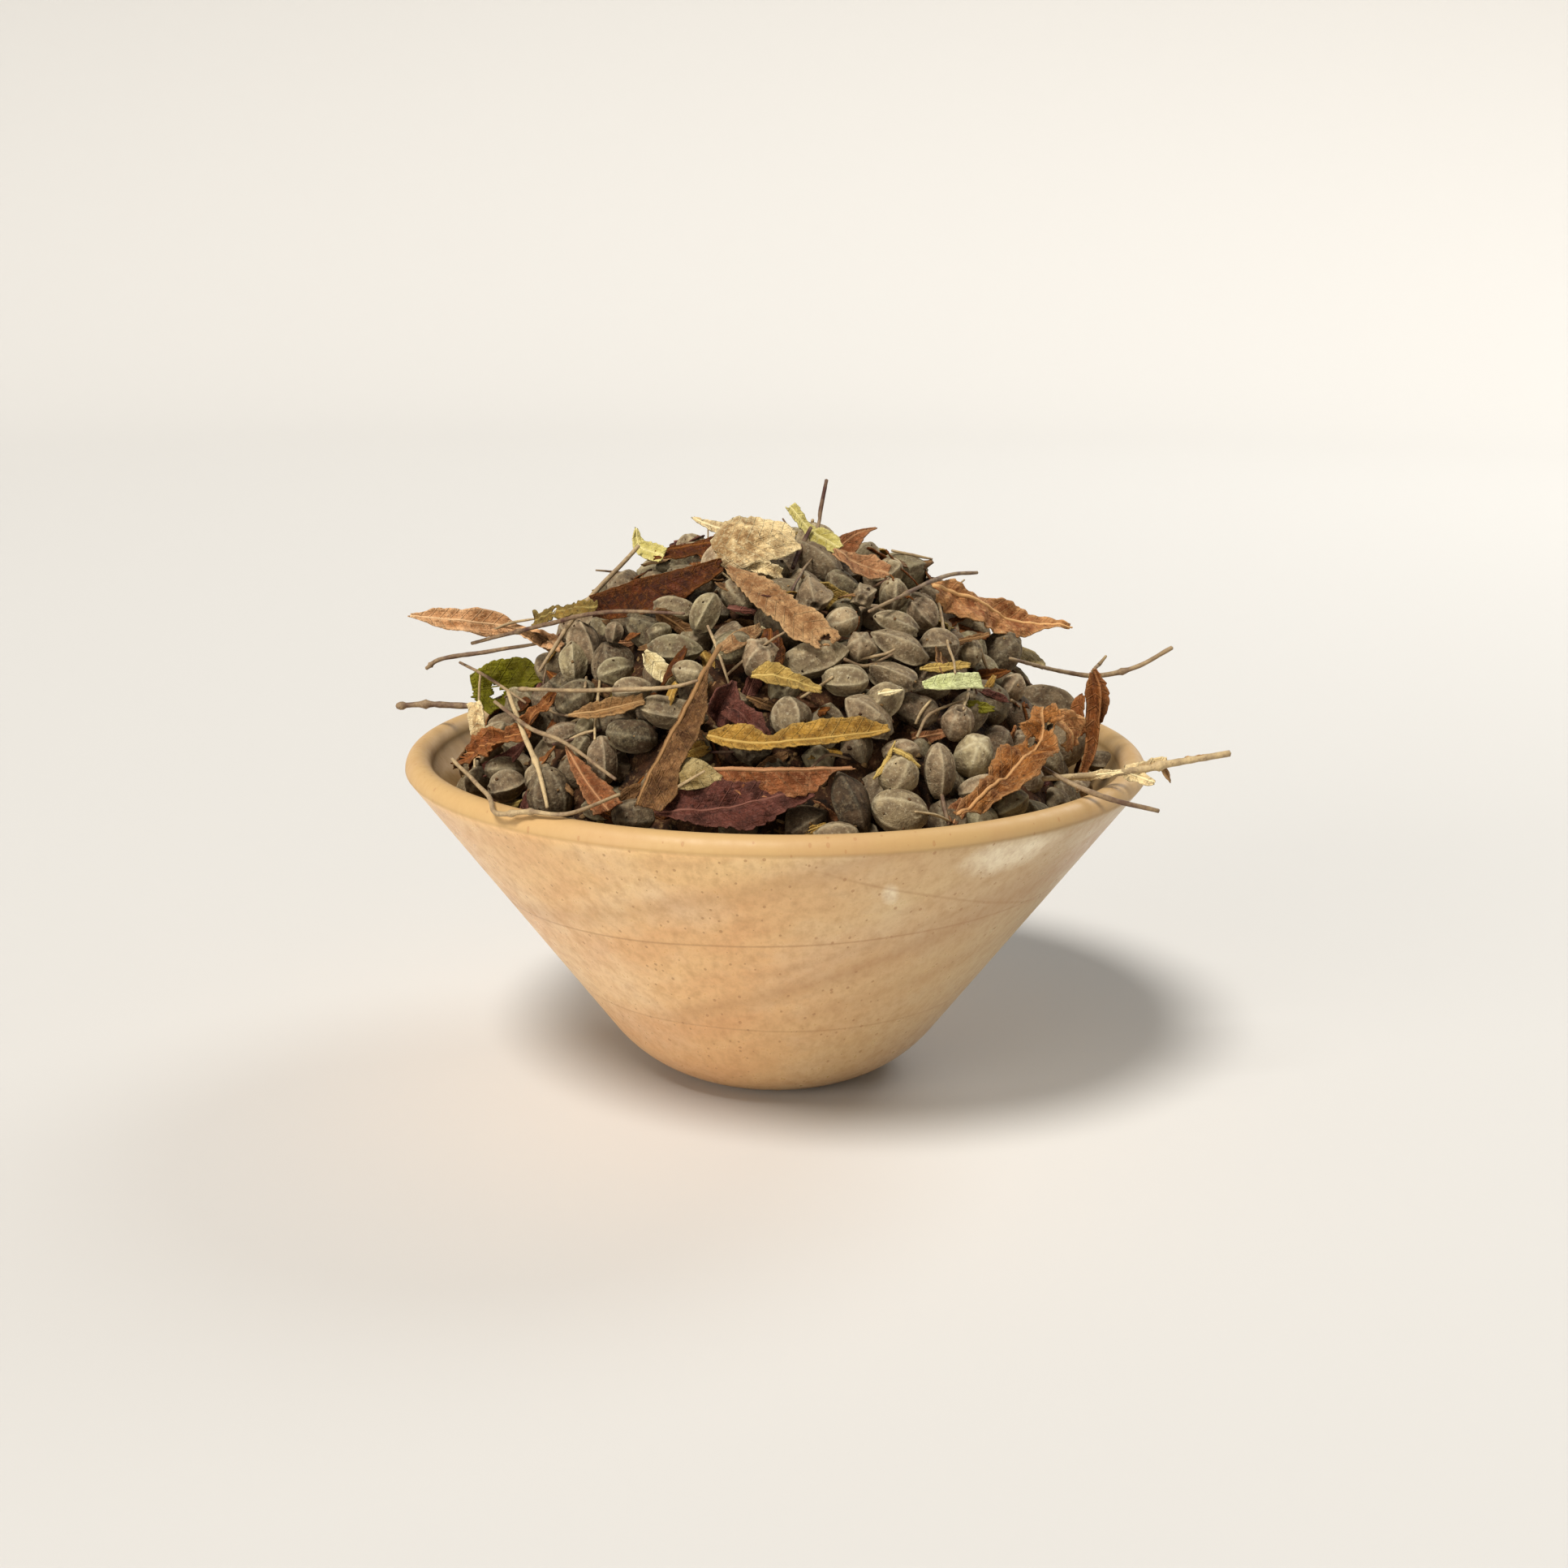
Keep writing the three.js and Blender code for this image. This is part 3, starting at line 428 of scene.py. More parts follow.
        "straw", 5, 0.1, (0.4, -0.9, 0.3),
        [(2.2, -1, 116.8), (6.6, -3, 112.0), (12.4, -8, 109.2)],
        right=(0.4, 0.5, 0.5, 0.5, 0.9, 1.0, 0.6), left=(0.6, 0.5, 0.4, 0.5, 0.8, 0.9, 0.4),
        rib=0.15, torn=0.35,
    ),
    "bract_yellow_peak": leaf(
        "cream", 3, 0.4, (0.3, -0.9, 0.3),
        [(-17.1, 2, 114), (-14, 1, 112.6), (-9.6, -1, 111.4)],
        right=(0.2, 0.5, 0.8, 1.0), left=(0.2, 0.4, 0.8, 1.0), rib=0.15, torn=0.2,
    ),
    "bract_lime_left": leaf(
        "straw", 5.5, 0.2, (0.2, -0.9, 0.3),
        [(-28.6, 4, 111.5), (-27.6, 2, 107.8), (-22.4, -4, 106.8)],
        right=(0.1, 0.35, 0.5, 0.7, 0.6), left=(0.1, 0.3, 0.7, 0.8, 0.5), rib=0.15, torn=0.2,
    ),
    "bract_left": leaf(
        "cream", 3.6, 0.2, (-0.4, -0.9, 0.2),
        [(-60.6, -8, 77.6), (-59.6, -11, 74), (-58.6, -14, 70.6)],
        right=STRIP, left=STRIP, rib=0, torn=0.3,
    ),
    "bract_green_strip": leaf(
        "lime", 3.4, 0.1, (0.4, -0.8, 0.5),
        [(27.3, -40, 88.4), (33.3, -36, 88.2), (38.8, -30.6, 87.4)],
        right=(0.5, 0.9, 0.9, 0.9, 1.0), left=(0.3, 0.9, 0.95, 0.9, 1.0), rib=0, torn=0.12, teeth=0,
        crumple=0.15,
    ),
}

# Kinds of dry leaf: material slot, roughness and screen colours of blade, blotches, veins, specks.
LeafKind = namedtuple("LeafKind", "slot roughness blade blotch vein speck")
LEAF_KINDS = {
    "brown": LeafKind("leaf_brown", 0.5, "57270B", "2E1304", "84501E", "180C04"),
    "russet": LeafKind("leaf_brown", 0.5, "8E5226", "542A0F", "A87444", "2A1408"),
    "umber": LeafKind("leaf_brown", 0.55, "74502E", "3A220E", "9A744A", "1E1206"),
    "rust": LeafKind("leaf_rust", 0.55, "945830", "5E3216", "AE8058", "301A0A"),
    "amber": LeafKind("leaf_rust", 0.6, "A0662F", "5C3212", "C09260", "2E1808"),
    "rose": LeafKind("leaf_rust", 0.6, "A67850", "744628", "BE966C", "3A2014"),
    "tan": LeafKind("leaf_tan", 0.6, "DCA674", "A06C40", "E4BE90", "5C3820"),
    "fawn": LeafKind("leaf_tan", 0.65, "B48C5E", "7A5230", "C6A476", "442A16"),
    "bronze": LeafKind("leaf_tan", 0.6, "BC8452", "804A28", "DCAE74", "4A2C16"),
    "ochre": LeafKind("leaf_ochre", 0.5, "AE8232", "76521A", "BC9A54", "3A280C"),
    "mustard": LeafKind("leaf_ochre", 0.5, "B08E46", "785C28", "C2A660", "4A3A14"),
    "bark": LeafKind("leaf_ochre", 0.55, "90683C", "5A3C1E", "A8865A", "2E1E0E"),
    "olive": LeafKind("leaf_ochre", 0.5, "86672A", "544018", "A08C50", "2A1E0A"),
    "cream": LeafKind("leaf_cream", 0.6, "F0D298", "8E6E46", "F2E2B2", "5E462A"),
    "ivory": LeafKind("leaf_cream", 0.6, "DECB96", "B89C66", "E8DAB0", "8A7448"),
    "husk": LeafKind("leaf_cream", 0.6, "A89262", "806A3E", "B8A678", "56421F"),
    "straw": LeafKind("leaf_cream", 0.55, "CFC274", "9C8C40", "DCCF90", "74642E"),
    "lime": LeafKind("leaf_green", 0.55, "D8DA9A", "BCC07E", "E0E0AE", "8E8C54"),
    "green": LeafKind("leaf_green", 0.5, "5A5008", "74700F", "837C2A", "2A2008"),
    "maroon": LeafKind("leaf_maroon", 0.55, "603226", "371B13", "7C5042", "1A0D08"),
}
LEAF_COLOURS = ("blade", "blotch", "vein", "speck")

# ---- Stalks: radii and spines in mm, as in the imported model, and knots as shares of the length ----

Stalk = namedtuple("Stalk", "radius tone spine knots")
STALKS = {
    "stalk_peak": Stalk(
        0.55, 0.2, [(9.6, 0, 121.8), (8.7, -1, 116.3), (7.6, -3.5, 110.8)], ()),
    "stalk_upper_right": Stalk(
        0.55, 0.3, [(40.6, 6, 102.6), (34.2, -2, 103.2), (27, -19.6, 103.2), (17.3, -32, 100.6)],
        (0.75,)),
    "stalk_right_mid": Stalk(
        0.65, 0.4,
        [(79.7, -2, 88.9), (73.3, 0, 84.6), (65.7, 2, 82.2), (58, 0, 83.4), (46, -12, 88.2)],
        (0.35,)),
    "stalk_right_low": Stalk(
        0.95, 0.8, [(86.7, -30, 73.5), (74.8, -32, 71.8), (65.3, -34, 70.5), (50, -40, 70.6)],
        (0.4,)),
    "stalk_right_pink": Stalk(
        0.65, 0.3, [(71.2, -44, 65.6), (62.5, -45, 67.9), (55.4, -44, 70.4), (49, -38, 73)], ()),
    "stalk_left_long": Stalk(
        0.65, 0.6, [(-27.8, -1, 108.4), (-34.1, -9, 102.2), (-39.8, -15.9, 95.8), (-45.8, -21, 86.6)],
        (0.55,)),
    "stalk_cross": Stalk(
        0.55, 0.5, [(-49.6, -23, 83.4), (-34.1, -40.4, 86.8), (-20.1, -47.4, 88.8), (-14, -48.6, 90.4)],
        (0.02,)),
    "stalk_left_upper": Stalk(
        0.6, 0.35, [(-72.9, 10, 81), (-69.5, 10, 83.1), (-60, 9.5, 84.8), (-49, 1, 88)], (0.12,)),
    "stalk_left_lower": Stalk(
        0.85, 0.3, [(-80, 14, 72.2), (-73, 14, 72.6), (-62, 12, 72.8), (-57, 8, 75.5)], (0.05, 0.3)),
    "stalk_left_cross": Stalk(
        0.55, 0.2, [(-61.8, 0, 88.2), (-50, -9, 92.6), (-33, -26, 99), (-17.2, -34.6, 100.4)], (0.3,)),
    "stalk_pale_left": Stalk(
        0.65, 0.95, [(-51.8, -22, 82.6), (-47.4, -35.4, 77.6), (-43.8, -43.4, 72.6), (-41.6, -50, 66.8)],
        (0.6,)),
    "stalk_dark_left": Stalk(
        0.55, 0.35, [(-54, -24.6, 81.2), (-46, -37.6, 79), (-38.6, -44.2, 77.6), (-28.6, -54.8, 73.4)],
        ()),
    "stalk_rim": Stalk(
        0.6, 0.6,
        [(-63.4, -20, 68.8), (-52.5, -50, 69.2), (-49.8, -57.4, 67.6), (-43.4, -60.6, 68.8),
         (-36.4, -62.7, 69), (-27.5, -59.4, 71.8)],
        (0.5, 0.6)),
}

# ---- Smaller scraps and twigs, placed by the picture's pixels. lift is in mm above the heap ----

# size is (length, width) in pixels, and turn the way of the length in the picture, in degrees.
# One with three numbers in at hangs on the low stalk at the right, and they are its place in mm.
Scrap = namedtuple("Scrap", "at size turn lift colour")
SCRAPS = {
    "mustard_at_peak": Scrap((1029, 738), (54, 40), -25, 3.8, "mustard"),
    "pale_jagged": Scrap((814, 826), (60, 36), -48, 2.4, "ivory"),
    "rust_below_green": Scrap((1147, 906), (50, 28), 12, 1.0, "rust"),
    "left_gap_umber": Scrap((774, 984), (60, 26), 40, 0.6, "umber"),
    "left_gap_brown": Scrap((750, 1002), (50, 20), -30, 0.4, "brown"),
    "middle_maroon": Scrap((925, 850), (50, 26), 70, 0.6, "maroon"),
    "middle_umber": Scrap((946, 870), (46, 22), -20, 0.6, "umber"),
    "brown_right": Scrap((1220, 831), (48, 20), 12, 1.4, "brown"),
    "mustard_right": Scrap((1165, 822), (60, 18), 8, 1.4, "mustard"),
    "ochre_at_lip": Scrap((1005, 1020), (28, 16), 20, 0.2, "ochre"),
    "rust_at_lip": Scrap((1180, 1000), (34, 30), 70, 0.2, "rust"),
    "rust_strip_at_lip": Scrap((1026, 1004), (78, 12), -33, 0.2, "rust"),
    "umber_on_fruit": Scrap((831, 767), (62, 22), -42, 1.4, "umber"),
    "rust_sliver": Scrap((777, 792), (46, 14), 8, 0.2, "rust"),
    "maroon_sliver": Scrap((914, 752), (36, 12), -8, 1.4, "maroon"),
    "umber_curl": Scrap((925, 768), (66, 16), -8, 1.4, "umber"),
    "pale_stick": Scrap((948, 784), (30, 8), -48, 1.4, "ivory"),
    "ochre_crumple": Scrap((852, 926), (38, 30), 20, 0.2, "ochre"),
    "tan_tail": Scrap((872, 907), (62, 18), -6, 1.4, "tan"),
    "green_under": Scrap((1208, 870), (30, 20), -10, 0.2, "green"),
    "maroon_under": Scrap((1226, 858), (40, 12), -20, 0.2, "maroon"),
    "rust_under": Scrap((1262, 1012), (50, 16), 25, 0.2, "rust"),
    "left_wall_tan": Scrap((588, 925), (30, 22), 10, 0.2, "tan"),
    "left_wall_brown": Scrap((668, 868), (70, 16), 62, 0.2, "brown"),
    "left_flag_tail": Scrap((668, 792), (60, 18), -28, 3.0, "umber"),
    "pale_crust": Scrap((1097, 853), (26, 14), 10, 1.4, "ivory"),
    "right_stalk_leaf": Scrap((70.5, -33, 71.8), (52, 20), 8, 0, "cream"),
    "right_stalk_flag": Scrap((69.0, -33.6, 69.6), (38, 22), -20, 0, "cream"),
    "right_stalk_end": Scrap((80.5, -31, 72.8), (44, 7), 6, 0, "fawn"),
    "right_stalk_pod": Scrap((74.6, -31.5, 69.8), (16, 11), -60, 0, "fawn"),
    "right_stalk_base": Scrap((60.5, -36.4, 70.6), (60, 13), 8, 0, "cream"),
    "maroon_low": Scrap((940, 905), (34, 26), -60, 0.2, "maroon"),
    "brown_behind_right": Scrap((1175, 765), (44, 18), 30, 0.5, "brown"),
    "umber_flank": Scrap((1192, 788), (60, 10), 12, 1.4, "umber"),
    "front_bract": Scrap((1092, 938), (48, 8), 60, 0.5, "mustard"),
    "front_bract_right": Scrap((1118, 932), (40, 8), -35, 0.5, "mustard"),
}
# Kinds of leaf of the strewn scraps, the commoner ones named more often.
STREWN_COLOURS = ("brown", "brown", "brown", "umber", "umber", "umber", "rust", "fawn", "olive",
                  "ochre", "maroon", "russet")
# Nothing is strewn in front of the bare fruits at these pixels, out to these reaches in mm.
BARE_PLACES = (((1150, 950), 13.0), ((1012, 698), 6.5), ((1105, 790), 8.0), ((722, 800), 5.0),
               ((1075, 880), 6.5), ((869, 755), 4.0), ((999, 813), 6.0), ((778, 907), 5.0),
               ((1262, 808), 6.5), ((1303, 853), 6.0))

# path is in pixels and radius in mm. lifts are heights in mm above the heap's outline at the two
# ends, for a twig with nothing behind it in the picture. The others lie on what is behind them.
Twig = namedtuple("Twig", "path radius tone lifts", defaults=((0.0, 0.0),))
TWIGS = {
    "over_brown_fruit": Twig([(872, 771), (884, 800), (898, 842)], 0.4, 0.6),
    "left_upright": Twig([(738, 838), (736, 870), (733, 911)], 0.4, 0.85),
    "left_pink": Twig([(671, 873), (690, 880), (708, 883)], 0.42, 0.35),
    "left_tan": Twig([(702, 911), (717, 904), (731, 900)], 0.42, 0.8),
    "left_rolled": Twig([(704, 890), (740, 872), (772, 864)], 0.45, 0.7),
    "below_stalked": Twig([(1160, 978), (1164, 998), (1169, 1016)], 0.55, 0.15),
    "flank_upright": Twig([(1155, 738), (1165, 780), (1178, 830)], 0.38, 0.55),
    "on_green_strip": Twig([(1200, 826), (1194, 850), (1188, 874)], 0.42, 0.7),
    "curved_right": Twig([(1130, 908), (1146, 880), (1186, 863)], 0.42, 0.5),
    "short_right": Twig([(1128, 892), (1136, 876), (1147, 862)], 0.4, 0.85),
    "behind_yellow": Twig([(986, 860), (1006, 848), (1026, 834)], 0.42, 0.6),
    "dark_at_peak": Twig([(977, 700), (986, 676), (999, 650)], 0.7, 0.1),
    "thin_at_peak": Twig([(974, 732), (986, 708), (999, 688)], 0.35, 0.2),
    "under_flag": Twig([(602, 779), (628, 768), (662, 762)], 0.4, 0.7, lifts=(16.0, 6.0)),
    "above_fold": Twig([(1040, 812), (1066, 821), (1100, 806)], 0.45, 0.45),
    "beside_angular": Twig([(1060, 812), (1090, 806), (1103, 800)], 0.4, 0.5),
    "front_right": Twig([(1170, 1012), (1152, 1004), (1128, 1000)], 0.35, 0.9),
    "right_fork": Twig([(1345, 828), (1355, 818), (1363, 808)], 0.5, 0.5, lifts=(9.0, 14.0)),
    "left_thin": Twig([(880, 895), (905, 905), (930, 912)], 0.35, 0.6),
    "over_green_leaf": Twig([(566, 816), (600, 834), (648, 866)], 0.45, 0.35),
    "husk_tail": Twig([(822, 978), (838, 968), (868, 950)], 0.42, 0.65),
    "midway": Twig([(1000, 945), (1020, 930), (1048, 935)], 0.4, 0.2),
}


# ---- Places on the heap and in the picture ----


def unit(vectors):
    """Vectors brought to length one."""
    return vectors / np.linalg.norm(vectors, axis=-1, keepdims=True)


def sight(pixel):
    """Direction of the sight line through a pixel, one mm deep."""
    right, down = (np.array(pixel, float) - PICTURE_SIDE / 2) / FOCAL_LENGTH
    return FORWARD + right * RIGHTWARD - down * UPWARD


def pixel_size(point):
    """Width in mm of one pixel at a point's depth."""
    return ((point - EYE) @ FORWARD) / FOCAL_LENGTH


def outline_height(x, y):
    """Height of the heap's smooth outline at a place in the plan."""
    share = np.minimum(np.hypot(x, y) / HEAP_RADIUS, 1.0)
    return HEAP_EDGE_HEIGHT + (HEAP_HEIGHT - HEAP_EDGE_HEIGHT) * (1 - share**HEAP_ROUNDNESS)


def outline_normal(x, y):
    """Way out of the heap at a place in the plan."""
    radius = max(math.hypot(x, y), 1e-6)
    share = min(radius / HEAP_RADIUS, 1.0)
    drop = HEAP_HEIGHT - HEAP_EDGE_HEIGHT
    slope = drop * HEAP_ROUNDNESS * share ** (HEAP_ROUNDNESS - 1) / HEAP_RADIUS
    return unit(np.array((slope * x / radius, slope * y / radius, 1.0)))


def seat(pixel, lift):
    """First point of a pixel's sight line within lift mm of the heap's outline, or the nearest."""
    ray = sight(pixel)
    depths = np.arange(VIEW_DISTANCE - 110, VIEW_DISTANCE + 110, 0.25)
    points = EYE + depths[:, None] * ray
    height = outline_height(points[:, 0], points[:, 1]) + lift
    radius = np.hypot(points[:, 0], points[:, 1])
    inside = (points[:, 2] <= height) & (radius < HEAP_RADIUS + 8)
    if inside.any():
        return points[np.argmax(inside)]
    beyond = np.maximum(radius - HEAP_RADIUS, 0)
    return points[np.argmin(np.abs(points[:, 2] - height) + beyond)]


def spread(count, radius, twist, crowding=0.5):
    """Even places on the heap from its middle out: number, point of the outline and way out."""
    for i in range(count):
        reach = radius * ((i + 0.5) / count) ** crowding
        turn = i * GOLDEN_ANGLE + twist
        x, y = reach * math.cos(turn), reach * math.sin(turn)
        yield i, np.array((x, y, outline_height(x, y))), outline_normal(x, y)


def faces_camera(point):
    """Whether the heap's outline faces the camera at a point."""
    return outline_normal(point[0], point[1]) @ unit(EYE - point) > 0.05


def wall_radius(height):
    """Radius in mm of the bowl's hollow at a height."""
    return INNER_RIM_RADIUS - SIDE_LEAN * np.maximum(LIP_BASE_HEIGHT - height, 0.0)


def picture_way(turn, lean=0.0):
    """Direction that shows at an angle in the picture and comes towards the viewer by lean."""
    flat = math.cos(turn) * RIGHTWARD + math.sin(turn) * UPWARD
    return math.cos(lean) * flat - math.sin(lean) * FORWARD


# ---- Laying things on what is already there ----


def carrier(*starts):
    """Surface of the pieces whose names start like these, for others to lie on."""
    points, faces = [], []
    for made in bpy.data.objects:
        if made.name.startswith(starts):
            base = len(points)
            points += [tuple(vertex.co) for vertex in made.data.vertices]
            faces += [[base + i for i in polygon.vertices] for polygon in made.data.polygons]
    return BVHTree.FromPolygons(points, faces)


def reach_of(surface, start, way):
    """Distance in mm from a start along a unit way to a carrier, and the way out of it there."""
    place, normal, _, distance = surface.ray_cast(Vector(start * MM), Vector(way))
    if place is None:
        return math.nan, way
    return distance / MM, np.array(normal)


def lay_line(surface, starts, ways, share, sink):
    """Moves a line's points along their ways on to a carrier, or sink mm into it, kept straight."""
    reaches = np.array([reach_of(surface, start, way)[0] for start, way in zip(starts, ways)])
    met = np.isfinite(reaches)
    if met.sum() < 4:
        return None
    slope, first = np.polyfit(share[met], reaches[met], 1)
    line = first + slope * share
    line += np.percentile((reaches - line)[met], 12) + sink
    return starts + ways * line[:, None]


def picture_path(path, share):
    """Smooth run of pixels through those of a path."""
    deep = [(u, v, 0) for u, v in path]
    return curve(deep, share)[0][:, :2]


# ---- Shapes ----


def ripple(points, wavelength, seed, waves=7):
    """Smooth noise of about unit size, from waves in seeded directions."""
    rng = np.random.default_rng(seed)
    ways = unit(rng.normal(size=(waves, 3)))
    lengths = wavelength * rng.uniform(0.7, 1.5, waves)
    phases = rng.uniform(0, 2 * math.pi, waves)
    return np.sin(points @ (ways * 2 * math.pi / lengths[:, None]).T + phases).sum(1) / waves**0.5


def rag(shares, steps, rng):
    """Rough noise along a line, from -1 to 1, with half as much at each finer step."""
    total = np.zeros_like(shares)
    for octave in range(3):
        count = max(int(steps * 2**octave), 2)
        total += np.interp(shares, np.linspace(0, 1, count), rng.uniform(-1, 1, count)) / 2**octave
    return total / (1 + 1 / 2 + 1 / 4)


def curve(spine, shares):
    """Points and unit tangents of a smooth curve through the spine."""
    spine = np.array(spine, float)
    ends = np.vstack((2 * spine[0] - spine[1], spine, 2 * spine[-1] - spine[-2]))
    place = np.clip(shares, 0, 1) * (len(spine) - 1)
    first = np.minimum(place.astype(int), len(spine) - 2)
    t = (place - first)[:, None]
    a, b, c, d = (ends[first + i] for i in range(4))
    points = 0.5 * (
        2 * b + (c - a) * t + (2 * a - 5 * b + 4 * c - d) * t**2 + (3 * b - a - 3 * c + d) * t**3
    )
    tangents = (c - a) + 2 * (2 * a - 5 * b + 4 * c - d) * t + 3 * (3 * b - a - 3 * c + d) * t**2
    return points, unit(tangents)


def spine_length(spine):
    """Length in mm of the smooth curve through a spine."""
    points, _ = curve(spine, np.linspace(0, 1, 40))
    return np.linalg.norm(np.diff(points, axis=0), axis=1).sum()


class Gathering:
    """Collects shapes in mm and makes them one mesh, with a value at each point for its material."""

    def __init__(self):
        self.points, self.faces, self.values, self.count = [], [], [], 0

    def add(self, points, blocks, **values):
        """Adds a shape with its blocks of faces and its values, each one number or one a point."""
        self.points.append(points)
        self.faces += [row for block in blocks for row in (block + self.count).tolist()]
        self.values.append({k: np.broadcast_to(v, len(points)) for k, v in values.items()})
        self.count += len(points)

    def piece(self, name, material):
        """Makes the piece. A value that a shape doesn't have is 0 there."""
        mesh = bpy.data.meshes.new(name)
        mesh.from_pydata((np.vstack(self.points) * MM).tolist(), [], self.faces)
        for key in sorted(set().union(*self.values)):
            column = [values.get(key, np.zeros(1)) for values in self.values]
            sizes = [len(points) for points in self.points]
            column = [np.broadcast_to(v, n) if len(v) == 1 else v for v, n in zip(column, sizes)]
            attribute = mesh.attributes.new(key, "FLOAT", "POINT")
            attribute.data.foreach_set("value", np.concatenate(column).astype(np.float32))
        mesh.shade_smooth()
        mesh.materials.append(material)
        made = bpy.data.objects.new(name, mesh)
        bpy.context.scene.collection.objects.link(made)
        return made


def ball_faces(rows, sides):
    """Faces of a ball of rings: its first and last points are the poles."""
    row = np.arange(rows - 2)[:, None] * sides
    here = np.arange(sides)[None, :]
    there = (here + 1) % sides
    quads = np.stack((row + here, row + there, row + sides + there, row + sides + here), -1) + 1
    ring = np.arange(sides)
    last = 1 + (rows - 2) * sides
    low = np.stack((np.zeros_like(ring), 1 + (ring + 1) % sides, 1 + ring), -1)
    high = np.stack((last + ring, last + (ring + 1) % sides, np.full_like(ring, last + sides)), -1)
    return [quads.reshape(-1, 4), low, high]


def turned(radii, heights, turn):
    """Points of the rings that a lathe would make of a half section."""
    x, y = np.outer(radii, np.cos(turn)), np.outer(radii, np.sin(turn))
    return np.stack((x, y, np.repeat(heights[:, None], len(turn), 1)), -1).reshape(-1, 3)


def fruit_outline(form, rows):
    """Height, from -1 to 1, and girth of a fruit's rings from its stalk end to its tip."""
    share = np.linspace(0, 1, rows + 1)
    polar = math.pi * (share - 0.6 * np.sin(2 * math.pi * share) / (2 * math.pi))
    height = -np.cos(polar)
    draw = form.beak * np.clip(height, 0, 1) ** 2 + form.base * np.clip(-height, 0, 1) ** 2
    return height * (1 + 0.3 * draw * np.abs(height) ** 6), np.sin(polar) ** (0.86 + draw)


def fruit_section(form, rng, steps):
    """Turn of each point of a fruit's ring, its share of the width and the turn to the nearest rib."""
    ribs = 2 * math.pi * (np.arange(form.ribs) + rng.uniform(-0.13, 0.13, form.ribs)) / form.ribs
    spans = np.diff(np.append(ribs, ribs[0] + 2 * math.pi))
    turn = (ribs[:, None] + spans[:, None] * steps).ravel()
    inside = (spans[:, None] * steps).ravel()
    span = np.repeat(spans, len(steps))
    face = np.cos(span / 2) / np.cos(inside - span / 2)
    return turn, face, np.minimum(inside, span - inside)


def press_scar(points):
    """Presses the stalk's scar into a fruit's lower end, and returns how dark it makes each point."""
    axis_distance = np.hypot(points[:, 0], points[:, 1])
    below = points[:, 2] < 0
    raised = np.exp(-(((axis_distance - 1.0) / 0.3) ** 2)) * below
    pit = np.exp(-((axis_distance / 0.65) ** 2)) * below
    points[:, 2] -= 0.35 * raised - 0.6 * pit
    dark_ring = np.exp(-(((axis_distance - 1.35) / 0.22) ** 2)) * below
    return np.clip(pit * 1.1 + 0.7 * dark_ring, 0, 1)


def fruit_shape(form, length, width, rng, rows, steps):
    """A dried fruit in mm along Z, its stalk scar below: its points, colour masks and faces."""
    height, girth = fruit_outline(form, rows)
    turn, face, nearest = fruit_section(form, rng, steps)
    sides = len(turn)
    radius = girth[:, None] * width / 2
    ridge = np.exp(-((nearest * radius / 0.36) ** 2)) * np.minimum(radius / 1.2, 1)
    ring = radius * (1 + form.facet * (face - 1)) + form.rib * ridge
    ridge = ridge.ravel()
    squash = rng.uniform(0.88, 1.0)
    levels = np.repeat(height[:, None], sides, 1) * length / 2
    points = np.stack((ring * np.cos(turn), ring * np.sin(turn) * squash, levels), -1).reshape(-1, 3)

    seed = int(rng.integers(1 << 30))
    size = (length + width) / 2
    wrinkles = ripple(points * (1.0, 1.0, 0.3), 1.3, seed + 1) + 0.6 * ripple(points, 1.1, seed + 2)
    dents = 0.045 * ripple(points, size * 0.8, seed) + 0.014 * wrinkles
    # Painted shade: darker in the wrinkles and away from the ribs.
    grime = np.clip(0.45 - 0.3 * wrinkles - 0.5 * ridge, 0, 1)
    points *= 1 + dents[:, None]
    scar = press_scar(points)
    tip = np.exp(-(((points[:, 2] - points[:, 2].max()) / 0.45) ** 2)) * 0.6

    keep = np.r_[0, np.arange(sides, rows * sides), rows * sides]  # one point at each pole
    masks = {"rib": (ridge + tip)[keep], "scar": scar[keep], "grime": grime[keep]}
    return points[keep], masks, ball_faces(rows, sides)


def axes_from(tip, roll):
    """Rotation whose Z is the tip's way, with its first side nearest the viewer, then rolled."""
    side = -FORWARD - (-FORWARD @ tip) * tip
    if np.linalg.norm(side) < 0.05:
        side = UPWARD - (UPWARD @ tip) * tip
    side = unit(side)
    other = np.cross(tip, side)
    first = math.cos(roll) * side + math.sin(roll) * other
    return np.stack((first, np.cross(tip, first), tip), -1)


def sheet_faces(keep):
    """Top, bottom and edge faces of a thin sheet on a grid, from which quads of keep are made."""
    rows, lanes = keep.shape
    count = (rows + 1) * (lanes + 1)
    corner = np.arange(rows)[:, None] * (lanes + 1) + np.arange(lanes)[None, :]
    quads = np.stack((corner, corner + 1, corner + lanes + 2, corner + lanes + 1), -1)[keep]
    edges = np.concatenate([quads[:, [i, (i + 1) % 4]] for i in range(4)])
    code = edges[:, 0] * count + edges[:, 1]
    single = ~np.isin(edges[:, 1] * count + edges[:, 0], code)
    a, b = edges[single].T
    walls = np.stack((a, a + count, b + count, b), -1)
    return [quads, quads[:, ::-1] + count, walls]


def sheet_sides(shape, share, length, rng):
    """Ragged half-widths in mm of a sheet's left and right sides, along its length."""
    sides = []
    for outline in (shape.left, shape.right):
        smooth = np.interp(share, np.linspace(0, 1, len(outline)), outline)
        smooth = np.convolve(np.pad(smooth, 2, "edge"), np.ones(5) / 5, "valid")
        saw = ((share * length / 1.9) % 1.0 - 0.5) * (1 + rag(share, length / 2.5, rng))
        edge = smooth * shape.width / 2
        edge += shape.teeth * saw * np.minimum(smooth * 2, 1)
        edge += shape.torn * rag(share, length / 2.2, rng) * np.minimum(smooth * 2, 1)
        sides.append(np.maximum(edge, 0.1))
    return sides


